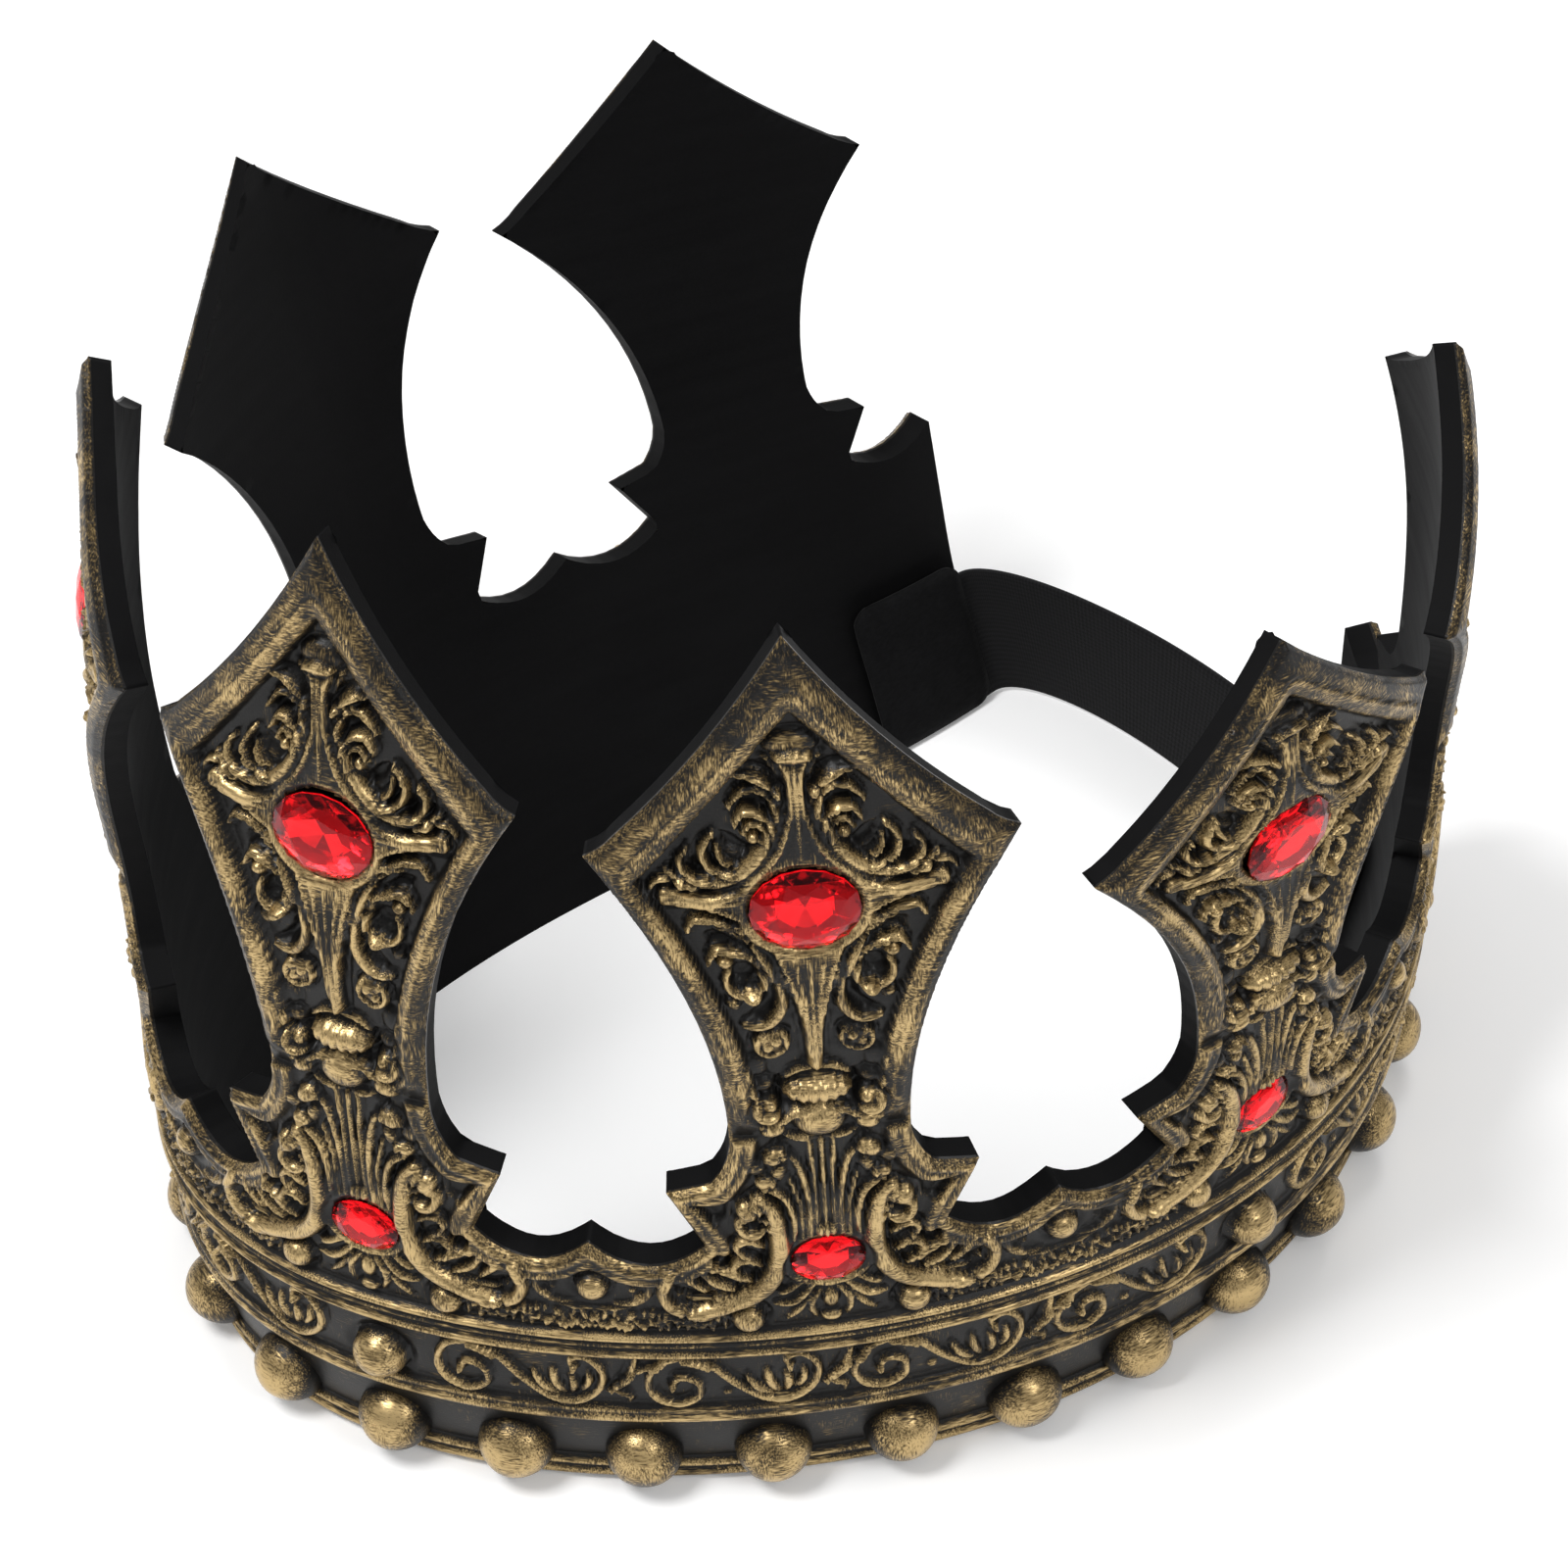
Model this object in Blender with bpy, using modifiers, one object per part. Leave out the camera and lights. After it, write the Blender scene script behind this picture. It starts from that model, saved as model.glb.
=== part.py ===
"""Costume crown: a moulded foam shell with seven tall points, glued gems and an elastic strap.

Metres, +Z up, the middle point facing -Y and the strap at the back (+Y). The shell is modelled
flat, as a strip with X along the band and Z up, and is then bent to the plan and lean of a crown
that stands on its flat base.
"""

import math

import bmesh
import bpy
import numpy as np
from mathutils import Matrix, Vector

MM = 0.001
GAP = 0.3 * MM

# Strip: seven equal units, one point in the middle of each.
PITCH = 80 * MM
UNITS = range(-3, 4)
STRIP_END = 3.5 * PITCH
POINTS_START = 60 * MM

# Half outline of one unit, as (distance from the point's axis, height), from the tip down.
TIP = (0.0, 191 * MM)
BEAK_ROOT = (29.5 * MM, 155 * MM)
SHOULDER = (34.6 * MM, 151 * MM)
WAIST = (14.8 * MM, 93 * MM)
SPUR_ROOT = (18.5 * MM, 81 * MM)
SPUR_TIP = (26 * MM, 79 * MM)
NOTCH = (20.2 * MM, 66.5 * MM)
VALLEY_PEAK = (PITCH / 2, 66.5 * MM)
UPPER_EDGE_SAG = 1.2 * MM
LOWER_EDGE_SAG = 5.0 * MM
NECK_SAG = 1.2 * MM
VALLEY_SAG = 5.0 * MM

# Half outline of the sunk panel in each point.
PANEL_TOP = (0.0, 178 * MM)
PANEL_SIDE = (26.5 * MM, 147 * MM)
PANEL_FOOT = (9.5 * MM, 98 * MM)
PANEL_SAG = 3.2 * MM
PANEL_DEPTH = 1.5 * MM

# Wall thickness from the base to the tips, and the raised mouldings as (low, high, relief).
WALL_HEIGHTS = np.array([0, 30, 90, 190]) * MM
WALL_THICKNESS = np.array([8.5, 6.5, 4.8, 4.0]) * MM
FLAT_WALL = 8 * MM
MOULDINGS = (
    (0.4 * MM, 5.0 * MM, 2.4 * MM),
    (20.0 * MM, 23.5 * MM, 1.8 * MM),
    (39.0 * MM, 45.0 * MM, 2.2 * MM),
)

# Studs as (height, radius).
BAND_STUD = (9.2 * MM, 7.1 * MM)
SCROLL_STUD = (29 * MM, 5.0 * MM)
FRIEZE_STUD = (48.5 * MM, 3.1 * MM)
VALLEY_STUD = (57 * MM, 3.1 * MM)
BAND_STUD_SPACING = PITCH * 2 / 7
BAND_STUDS_PER_SIDE = 11
FRIEZE_STUD_OFFSET = 14 * MM

# Gems as (height on the shell, half width, half height, depth below the surface, rise above it).
LARGE_GEM = (141 * MM, 9.3 * MM, 8.3 * MM, 2.4 * MM, 2.2 * MM)
SMALL_GEM = (61.5 * MM, 6.6 * MM, 5.6 * MM, 2.2 * MM, 1.8 * MM)
GEM_SIDES = 16
GEM_TABLE = 0.6
GIRDLE_RISE = 0.3

# Shape of the bent strip: bend along it, outward lean along it, and lean with height.
BEND_STATIONS = np.array([-3.6, -2.6, -1.8, -1.1, -0.5, 0.1, 0.8, 1.7, 2.6, 3.6]) * PITCH
BEND = np.array([-5.6, 0.1, 5.2, 13.6, 21.8, 8.0, 5.7, 8.2, 9.5, 9.9])
FLARE_STATIONS = np.array([-3.5, -2.33, -1.17, 0, 1.17, 2.33, 3.5]) * PITCH
FLARE = np.radians([8.3, 26.7, 4.1, 0, 3.7, 7.9, 4.4])
LEAN_HEIGHTS = np.array([0, 20, 40, 70, 110, 160]) * MM
LEAN = np.radians([15.6, 4.1, -2.7, -3.0, -0.7, -11.5])
STRETCH = np.array([-0.20, -0.14, 0.11, 0.15, 0.08, -0.12, -0.16])
STRETCH_HOLD = 0.45
EASE = 24 * MM
FLAT_BASE = 15 * MM
PLAN_CENTRE = (29.35 * MM, 109.95 * MM)

# Strap and patches, glued inside the ends of the strip.
STRAP_WIDTH = 27 * MM
STRAP_THICKNESS = 1.2 * MM
STRAP_LIFT = 0.8 * MM
STRAP_HOLD = 22 * MM
GLUE_GAP = 0.8 * MM
STRAP_PULLS = (12 * MM, 32 * MM)
PATCH_LENGTH = 26 * MM
PATCH_HEIGHT = 31 * MM
PATCH_THICKNESS = 1.0 * MM

# Fineness of the bent solid.
COLUMN = 40 / 3 * MM
ROW = 18 * MM
PLAN_STEP = 1 * MM

BLACK_FOAM = ("black_gilt_foam", (0.030, 0.027, 0.022), 0.55, 0.15)
RED_ACRYLIC = ("red_acrylic", (0.65, 0.012, 0.020), 0.08, 0.0)
BLACK_ELASTIC = ("black_elastic", (0.018, 0.018, 0.019), 0.85, 0.0)
BLACK_FELT = ("black_felt", (0.012, 0.012, 0.013), 0.95, 0.0)


# The bent surface.


def eased(x, stations, values):
    """Values that run straight between stations, with the corners rounded by a moving mean."""
    shifts = np.linspace(-EASE, EASE, 9)
    return np.mean([np.interp(x + shift, stations, values) for shift in shifts], axis=0)


def running_sum(values, step):
    """The integral of evenly spaced values, starting from 0."""
    steps = (values[1:] + values[:-1]) * step / 2
    return np.concatenate([[0.0], np.cumsum(steps)])


def plan_table():
    """Positions along the strip, with the plan's x, y and heading at each."""
    along = np.arange(-STRIP_END - 20 * MM, STRIP_END + 20 * MM, PLAN_STEP)
    middle = np.argmin(abs(along))
    heading = running_sum(eased(along, BEND_STATIONS, BEND), PLAN_STEP)
    heading -= heading[middle]
    x = running_sum(np.cos(heading), PLAN_STEP)
    y = running_sum(np.sin(heading), PLAN_STEP)
    return along, x - x[middle] - PLAN_CENTRE[0], y - y[middle] - PLAN_CENTRE[1], heading


def profile_table():
    """Heights up the strip, with the outward reach and rise of the unflared wall at each."""
    up = np.arange(-5 * MM, 240 * MM, PLAN_STEP)
    base = np.argmin(abs(up))
    lean = np.interp(up, LEAN_HEIGHTS, LEAN)
    reach = running_sum(np.sin(lean), PLAN_STEP)
    rise = running_sum(np.cos(lean), PLAN_STEP)
    return up, reach - reach[base], rise - rise[base]


PLAN = plan_table()
PROFILE = profile_table()


def stretched(s, v):
    """Height along the wall: the front points are taller than the back ones."""
    stations = np.array([(k + side * STRETCH_HOLD) * PITCH for k in UNITS for side in (-1, 1)])
    factor = 1 + np.interp(s, stations, np.repeat(STRETCH, 2))
    return np.where(v > POINTS_START, POINTS_START + (v - POINTS_START) * factor, v)


def surface(s, v, off):
    """Places on the bent crown: s along the strip, v up it, off outward from its face."""
    s, v, off = np.broadcast_arrays(s, v, off)
    height = stretched(s, v)
    flare = eased(s, FLARE_STATIONS, FLARE)
    lean = np.interp(height, LEAN_HEIGHTS, LEAN) + flare
    reach = np.interp(height, PROFILE[0], PROFILE[1])
    rise = np.interp(height, PROFILE[0], PROFILE[2])
    out = np.cos(flare) * reach + np.sin(flare) * rise + off * np.cos(lean)
    share = np.clip(v / FLAT_BASE, 0, 1)
    z = np.cos(flare) * rise - np.sin(flare) * reach - off * np.sin(lean) * share
    x, y, heading = (np.interp(s, PLAN[0], column) for column in PLAN[1:])
    return np.stack([x + np.sin(heading) * out, y - np.cos(heading) * out, z], axis=-1)


def wall(v):
    """Thickness of the shell at height v."""
    return np.interp(v, WALL_HEIGHTS, WALL_THICKNESS)


def frame_at(s, v):
    """A matrix at a place on the outer face: X along the strip, Y inward, Z up the wall."""
    here = Vector(surface(s, v, 0.0))
    along = (Vector(surface(s + MM, v, 0.0)) - Vector(surface(s - MM, v, 0.0))).normalized()
    up = Vector(surface(s, v + MM, 0.0)) - Vector(surface(s, v - MM, 0.0))
    inward = up.cross(along).normalized()
    up = along.cross(inward)
    axes = Matrix((along, inward, up)).transposed().to_4x4()
    return Matrix.Translation(here) @ axes


# Modelling helpers.


def clear_scene():
    for obj in list(bpy.data.objects):
        bpy.data.objects.remove(obj, do_unlink=True)


def new_collection(name):
    collection = bpy.data.collections.new(name)
    bpy.context.scene.collection.children.link(collection)
    return collection


def make_material(spec):
    name, colour, roughness, metallic = spec
    material = bpy.data.materials.new(name)
    material.use_nodes = True
    shader = material.node_tree.nodes["Principled BSDF"]
    shader.inputs["Base Color"].default_value = (*colour, 1.0)
    shader.inputs["Roughness"].default_value = roughness
    shader.inputs["Metallic"].default_value = metallic
    return material


def mesh_object(name, mesh, collection, material=None):
    obj = bpy.data.objects.new(name, mesh)
    collection.objects.link(obj)
    if material:
        mesh.materials.append(material)
    return obj


def bmesh_object(name, bm, collection, material=None):
    mesh = bpy.data.meshes.new(name)
    bm.to_mesh(mesh)
    bm.free()
    return mesh_object(name, mesh, collection, material)


def evaluated_mesh(obj):
    graph = bpy.context.evaluated_depsgraph_get()
    return bpy.data.meshes.new_from_object(obj.evaluated_get(graph))


def curved_edge(start, end, sag, steps=4):
    """Points from start up to but not at end, bowed by sag to the left of the way there."""
    start, end = Vector(start), Vector(end)
    side = Vector((start.y - end.y, end.x - start.x)).normalized()
    parts = [step / steps for step in range(steps)]
    return [tuple(start.lerp(end, t) + side * 4 * sag * t * (1 - t)) for t in parts]


def plate(name, outline, front, back, collection):
    """A flat closed outline in X and Z, filled and extruded from y = front to y = back."""
    curve = bpy.data.curves.new(name, "CURVE")
    curve.dimensions = "2D"
    curve.fill_mode = "BOTH"
    curve.extrude = (back - front) / 2
    spline = curve.splines.new("POLY")
    spline.points.add(len(outline) - 1)
    for point, (x, z) in zip(spline.points, outline):
        point.co = (x, z, 0.0, 1.0)
    spline.use_cyclic_u = True
    drawn = bpy.data.objects.new(name, curve)
    collection.objects.link(drawn)
    upright = Matrix.Rotation(math.pi / 2, 4, "X")
    drawn.matrix_world = Matrix.Translation((0, (front + back) / 2, 0)) @ upright
    bpy.context.view_layer.update()
    mesh = evaluated_mesh(drawn)
    mesh.transform(drawn.matrix_world)
    bpy.data.objects.remove(drawn)
    bm = bmesh.new()
    bm.from_mesh(mesh)
    bmesh.ops.remove_doubles(bm, verts=bm.verts, dist=0.001 * MM)
    bmesh.ops.recalc_face_normals(bm, faces=bm.faces)
    bmesh.ops.dissolve_limit(bm, angle_limit=0.01, verts=bm.verts, edges=bm.edges)
    bm.to_mesh(mesh)
    bm.free()
    return mesh_object(name, mesh, collection)


def boolean(obj, cutter, operation):
    """Joins or cuts obj with cutter for good, and keeps the cutter as a hidden helper."""
    modifier = obj.modifiers.new(cutter.name, "BOOLEAN")
    modifier.operation = operation
    modifier.object = cutter
    modifier.solver = "EXACT"
    bpy.context.view_layer.update()
    result = evaluated_mesh(obj)
    obj.modifiers.clear()
    obj.data = result
    cutter.hide_render = True
    cutter.display_type = "WIRE"


# Pieces.


def unit_half():
    """Outline of half a unit from its tip to the valley's middle, to the right of its axis."""
    points = curved_edge(TIP, BEAK_ROOT, -UPPER_EDGE_SAG)
    points += curved_edge(BEAK_ROOT, SHOULDER, -0.4 * MM, steps=2)
    points += curved_edge(SHOULDER, WAIST, -LOWER_EDGE_SAG)
    points += curved_edge(WAIST, SPUR_ROOT, -NECK_SAG, steps=2)
    points += [SPUR_ROOT, SPUR_TIP]
    points += curved_edge(NOTCH, VALLEY_PEAK, -VALLEY_SAG)
    return points + [VALLEY_PEAK]


def strip_outline():
    """The whole strip, along its top from the left end to the right and back along the base."""
    right = unit_half()
    left = [(-u, v) for u, v in reversed(right)]
    top = []
    for k in UNITS:
        unit = left[1:] + right[1:]
        top += [(k * PITCH + u, v) for u, v in unit]
    return [(-STRIP_END, 0.0), (-STRIP_END, VALLEY_PEAK[1]), *top, (STRIP_END, 0.0)]


def panel_outline():
    right = [PANEL_TOP, *curved_edge(PANEL_SIDE, PANEL_FOOT, -PANEL_SAG, steps=4), PANEL_FOOT]
    return right + [(-u, v) for u, v in reversed(right[1:])]


def flat_shell(cutters):
    """The strip before bending, with its mouldings and the sunk panels of its points."""
    strip = plate("flat_strip", strip_outline(), 0.0, FLAT_WALL, cutters)
    for index, (low, high, relief) in enumerate(MOULDINGS):
        end = STRIP_END - 0.5 * MM
        outline = [(-end, low), (-end, high), (end, high), (end, low)]
        bar = plate(f"moulding_{index}", outline, -relief, 1 * MM, cutters)
        boolean(strip, bar, "UNION")
    for k in UNITS:
        outline = [(k * PITCH + u, v) for u, v in panel_outline()]
        panel = plate(f"panel_{k}", outline, -5 * MM, PANEL_DEPTH, cutters)
        boolean(strip, panel, "DIFFERENCE")
    return strip


def slice_across(bm, axis, positions):
    """Cuts the mesh at each position along axis, so that it can bend there."""
    normal = Vector([float(index == axis) for index in range(3)])
    for position in positions:
        geometry = bm.verts[:] + bm.edges[:] + bm.faces[:]
        bmesh.ops.bisect_plane(bm, geom=geometry, plane_co=normal * position, plane_no=normal)


def bent_shell(strip, collection, material):
    """The flat strip sliced into columns and rows, then bent; its wall takes its true thickness."""
    bm = bmesh.new()
    bm.from_mesh(strip.data)
    slice_across(bm, 0, np.arange(-STRIP_END + COLUMN, STRIP_END - 1 * MM, COLUMN))
    slice_across(bm, 2, np.arange(ROW, TIP[1], ROW))
    bmesh.ops.triangulate(bm, faces=bm.faces)
    places = np.array([vert.co for vert in bm.verts])
    inside = places[:, 1] > 0
    scale = np.where(inside, wall(places[:, 2]) / FLAT_WALL, 1.0)
    bent = surface(places[:, 0], places[:, 2], -places[:, 1] * scale)
    for vert, place in zip(bm.verts, bent):
        vert.co = place
    strip.hide_render = True
    strip.display_type = "WIRE"
    return bmesh_object("crown_shell", bm, collection, material)


def add_studs(shell, cutters):
    """Round studs, moulded in one with the shell."""
    studs = []
    for index in range(-BAND_STUDS_PER_SIDE, BAND_STUDS_PER_SIDE + 1):
        studs.append((index * BAND_STUD_SPACING, *BAND_STUD))
    for k in UNITS:
        studs += [(k * PITCH + side * FRIEZE_STUD_OFFSET, *FRIEZE_STUD) for side in (-1, 1)]
        if k % 2 == 0:
            studs.append((k * PITCH, *SCROLL_STUD))
        if k != UNITS[-1]:
            studs.append(((k + 0.5) * PITCH, *VALLEY_STUD))
    bm = bmesh.new()
    for s, v, radius in studs:
        place = frame_at(s, v)
        bmesh.ops.create_uvsphere(bm, u_segments=8, v_segments=6, radius=radius, matrix=place)
    balls = bmesh_object("studs", bm, cutters)
    boolean(shell, balls, "UNION")


def gem_body(spec, grow=0.0, top=None):
    """An oval gem with a flat back, an upright girdle and a crown that slopes in to its table."""
    _, half_width, half_height, depth, rise = spec
    rise = top or rise
    bm = bmesh.new()
    ring = bmesh.ops.create_circle(bm, cap_ends=True, radius=1.0, segments=GEM_SIDES)
    stretch = Matrix.Diagonal((half_width + grow, half_height + grow, 1, 1))
    bmesh.ops.transform(bm, matrix=stretch, verts=ring["verts"])
    bmesh.ops.translate(bm, vec=(0, 0, -depth - grow), verts=ring["verts"])
    face = bm.faces[:]
    girdle = rise if top else rise * GIRDLE_RISE
    levels = [(depth + grow + girdle, 1.0)]
    if not top:
        levels.append((rise - girdle, GEM_TABLE))
    for lift, inset in levels:
        geometry = bmesh.ops.extrude_face_region(bm, geom=face)["geom"]
        if len(bm.faces) > GEM_SIDES + 2:
            bmesh.ops.delete(bm, geom=face, context="FACES_ONLY")
        verts = [item for item in geometry if isinstance(item, bmesh.types.BMVert)]
        face = [item for item in geometry if isinstance(item, bmesh.types.BMFace)]
        bmesh.ops.translate(bm, vec=(0, 0, lift), verts=verts)
        bmesh.ops.scale(bm, vec=(inset, inset, 1), verts=verts)
    bmesh.ops.recalc_face_normals(bm, faces=bm.faces)
    outward = Matrix.Rotation(math.pi / 2, 4, "X")
    bmesh.ops.transform(bm, matrix=outward, verts=bm.verts)
    return bm


def add_gems(shell, name, spec, collection, cutters, material):
    """One gem in a pocket of its own at each point, numbered from the left end of the strip."""
    for number, k in enumerate(UNITS, start=1):
        place = frame_at(k * PITCH, spec[0])
        pocket = bmesh_object(f"{name}_pocket_{number}", gem_body(spec, GAP, 12 * MM), cutters)
        pocket.matrix_world = place
        boolean(shell, pocket, "DIFFERENCE")
        gem = bmesh_object(f"{name}_{number}", gem_body(spec), collection, material)
        gem.matrix_world = place


def thin_sheet(name, place, columns, rows, thickness, collection, material):
    """A sheet whose middle surface is place(across, up), both from 0 to 1, with Solidify."""
    bm = bmesh.new()
    bmesh.ops.create_grid(bm, x_segments=columns, y_segments=rows, size=0.5)
    for vert in bm.verts:
        vert.co = place(vert.co.x + 0.5, vert.co.y + 0.5)
    sheet = bmesh_object(name, bm, collection, material)
    solidify = sheet.modifiers.new("thickness", "SOLIDIFY")
    solidify.thickness = thickness
    solidify.offset = 0.0
    solidify.use_even_offset = True
    return sheet


def strap_place(across, up):
    """The strap lies on the inside of both ends and bows freely over the gap at the back."""
    v = STRAP_LIFT + STRAP_WIDTH * up
    off = -wall(v) - GLUE_GAP - STRAP_THICKNESS / 2
    held = 0.2
    if across < held:
        return surface(-STRIP_END + STRAP_HOLD * (1 - across / held), v, off)
    if across > 1 - held:
        return surface(STRIP_END - STRAP_HOLD * (1 - (1 - across) / held), v, off)
    t = (across - held) / (1 - 2 * held)
    ends = [Vector(surface(side * STRIP_END, v, off)) for side in (-1, 1)]
    inner = [Vector(surface(side * (STRIP_END - MM), v, off)) for side in (-1, 1)]
    pulls = [e + (e - i).normalized() * p for e, i, p in zip(ends, inner, STRAP_PULLS)]
    a, b, c, d = ends[0], pulls[0], pulls[1], ends[1]
    return a * (1 - t) ** 3 + b * 3 * t * (1 - t) ** 2 + c * 3 * t**2 * (1 - t) + d * t**3


def patch_place(side):
    """The patch lies over the glued end of the strap, inside the shell."""

    def place(across, up):
        v = STRAP_LIFT + PATCH_HEIGHT * up
        off = -wall(v) - GLUE_GAP - STRAP_THICKNESS - GAP - PATCH_THICKNESS / 2
        return surface(side * (STRIP_END - 1 * MM - PATCH_LENGTH * across), v, off)

    return place


def build():
    clear_scene()
    crown = new_collection("crown")
    cutters = new_collection("crown_cutters")
    foam, acrylic = make_material(BLACK_FOAM), make_material(RED_ACRYLIC)
    elastic, felt = make_material(BLACK_ELASTIC), make_material(BLACK_FELT)

    shell = bent_shell(flat_shell(cutters), crown, foam)
    add_studs(shell, cutters)
    add_gems(shell, "large_gem", LARGE_GEM, crown, cutters, acrylic)
    add_gems(shell, "small_gem", SMALL_GEM, crown, cutters, acrylic)
    thin_sheet("elastic_strap", strap_place, 20, 3, STRAP_THICKNESS, crown, elastic)
    for name, side in (("strap_patch_left", -1), ("strap_patch_right", 1)):
        thin_sheet(name, patch_place(side), 4, 3, PATCH_THICKNESS, crown, felt)


build()
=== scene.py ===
"""Looks of the costume crown: its relief, paint, gems, strap, studio and camera."""

import math
from copy import copy

import bmesh
import bpy
import numpy as np
from mathutils import Matrix, Vector


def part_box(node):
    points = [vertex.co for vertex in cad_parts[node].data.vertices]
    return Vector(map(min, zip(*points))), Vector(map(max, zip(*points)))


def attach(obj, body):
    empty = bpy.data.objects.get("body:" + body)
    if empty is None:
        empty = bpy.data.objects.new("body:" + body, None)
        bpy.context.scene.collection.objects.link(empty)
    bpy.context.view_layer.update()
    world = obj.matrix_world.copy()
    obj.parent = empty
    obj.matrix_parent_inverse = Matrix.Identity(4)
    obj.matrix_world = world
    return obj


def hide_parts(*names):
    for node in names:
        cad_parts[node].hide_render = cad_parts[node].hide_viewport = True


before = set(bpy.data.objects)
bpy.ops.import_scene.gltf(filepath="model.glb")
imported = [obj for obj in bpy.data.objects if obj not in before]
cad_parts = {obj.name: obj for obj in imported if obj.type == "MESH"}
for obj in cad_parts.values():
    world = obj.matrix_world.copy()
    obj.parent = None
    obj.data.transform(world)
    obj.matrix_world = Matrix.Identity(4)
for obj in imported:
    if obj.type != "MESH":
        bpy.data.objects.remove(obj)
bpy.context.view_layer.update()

# The strip's flat coordinates are in millimetres: s or u along it, v up it, off outward.
MM = 0.001
PITCH = 80.0
UNITS = range(-3, 4)
STRIP_END = 3.5 * PITCH
POINTS_START = 60.0

# Shape of the bent strip, by the same rules as the frame's own solids.
BEND_STATIONS = np.array([-3.6, -2.6, -1.8, -1.1, -0.5, 0.1, 0.8, 1.7, 2.6, 3.6]) * PITCH
BEND = np.array([-5.6, 0.1, 5.2, 13.6, 21.8, 8.0, 5.7, 8.2, 9.5, 9.9]) * MM
FLARE_STATIONS = np.array([-3.5, -2.33, -1.17, 0, 1.17, 2.33, 3.5]) * PITCH
FLARE = np.radians([8.3, 26.7, 4.1, 0, 3.7, 7.9, 4.4])
LEAN_HEIGHTS = np.array([0, 20, 40, 70, 110, 160])
LEAN = np.radians([15.6, 4.1, -2.7, -3.0, -0.7, -11.5])
STRETCH = np.array([-0.20, -0.14, 0.11, 0.15, 0.08, -0.12, -0.16])
STRETCH_HOLD = 0.45
EASE = 24.0
FLAT_BASE = 15.0
PLAN_CENTRE = (29.35, 109.95)
WALL_HEIGHTS = np.array([0, 30, 90, 190])
WALL_THICKNESS = np.array([8.5, 6.5, 4.8, 4.0])

# Half outline of a unit from the tip down, and of the sunk panel.
TIP = (0.0, 191.0)
BEAK_ROOT = (29.5, 155.0)
SHOULDER = (34.6, 151.0)
WAIST = (14.8, 93.0)
SPUR_ROOT = (18.5, 81.0)
SPUR_TIP = (26.0, 79.0)
NOTCH = (20.2, 66.5)
VALLEY_PEAK = (40.0, 66.5)
PANEL_TOP = (0.0, 178.0)
PANEL_SIDE = (26.5, 147.0)
PANEL_FOOT = (9.5, 98.0)

# Gems as (height on the shell, half width, half height, depth, rise), studs as (height, radius),
# after their distance from the unit's axis if they have one.
LARGE_GEM = (141.0, 9.3, 8.3, 2.4, 2.2)
SMALL_GEM = (61.5, 6.6, 5.6, 2.2, 1.8)
BAND_STUD = (9.2, 7.1)
SCROLL_STUD = (29.0, 5.0)
FRIEZE_STUD = (14.0, 48.5, 3.1)
VALLEY_STUD = (40.0, 57.0, 3.1)
BAND_STUD_SPACING = PITCH * 2 / 7

STRAP_WIDTH = 27.0
STRAP_THICKNESS = 1.2
STRAP_LIFT = 0.8
STRAP_HOLD = 22.0
GLUE_GAP = 0.8
STRAP_PULLS = (12.0, 32.0)
PATCH_LENGTH = 26.0
PATCH_HEIGHT = 31.0
PATCH_THICKNESS = 1.0

GRID = 0.5
BACK_GRID = 2.0
SNAP_REACH = 0.55
PIXEL = 0.2
RELIEF_TOP = 192.0
FRIEZE_BASE = 46.0
SCROLL_BAND = (22.0, 40.0)


# The bent surface.


def eased(x, stations, values):
    """Values that run straight between stations, with the corners rounded by a moving mean."""
    shifts = np.linspace(-EASE, EASE, 9)
    return np.mean([np.interp(x + shift, stations, values) for shift in shifts], axis=0)


def running_sum(values):
    """The integral of values 1 mm apart, starting from 0."""
    return np.concatenate([[0.0], np.cumsum((values[1:] + values[:-1]) / 2)])


def plan_table():
    along = np.arange(-STRIP_END - 20, STRIP_END + 20)
    middle = np.argmin(abs(along))
    heading = running_sum(eased(along, BEND_STATIONS, BEND))
    heading -= heading[middle]
    x = running_sum(np.cos(heading))
    y = running_sum(np.sin(heading))
    return along, x - x[middle] - PLAN_CENTRE[0], y - y[middle] - PLAN_CENTRE[1], heading


def profile_table():
    up = np.arange(-5, 240)
    base = np.argmin(abs(up))
    lean = np.interp(up, LEAN_HEIGHTS, LEAN)
    reach = running_sum(np.sin(lean))
    rise = running_sum(np.cos(lean))
    return up, reach - reach[base], rise - rise[base]


PLAN = plan_table()
PROFILE = profile_table()


def surface(s, v, off):
    """Places in metres on the bent crown, for flat coordinates in millimetres."""
    s, v, off = np.broadcast_arrays(s, v, off)
    stations = np.array([(k + side * STRETCH_HOLD) * PITCH for k in UNITS for side in (-1, 1)])
    factor = 1 + np.interp(s, stations, np.repeat(STRETCH, 2))
    height = np.where(v > POINTS_START, POINTS_START + (v - POINTS_START) * factor, v)
    flare = eased(s, FLARE_STATIONS, FLARE)
    lean = np.interp(height, LEAN_HEIGHTS, LEAN) + flare
    reach = np.interp(height, PROFILE[0], PROFILE[1])
    rise = np.interp(height, PROFILE[0], PROFILE[2])
    out = np.cos(flare) * reach + np.sin(flare) * rise + off * np.cos(lean)
    share = np.clip(v / FLAT_BASE, 0, 1)
    z = np.cos(flare) * rise - np.sin(flare) * reach - off * np.sin(lean) * share
    x, y, heading = (np.interp(s, PLAN[0], column) for column in PLAN[1:])
    return np.stack([x + np.sin(heading) * out, y - np.cos(heading) * out, z], axis=-1) * MM


def wall(v):
    """Thickness of the foam, less toward the tips."""
    return np.interp(v, WALL_HEIGHTS, WALL_THICKNESS)


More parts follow.
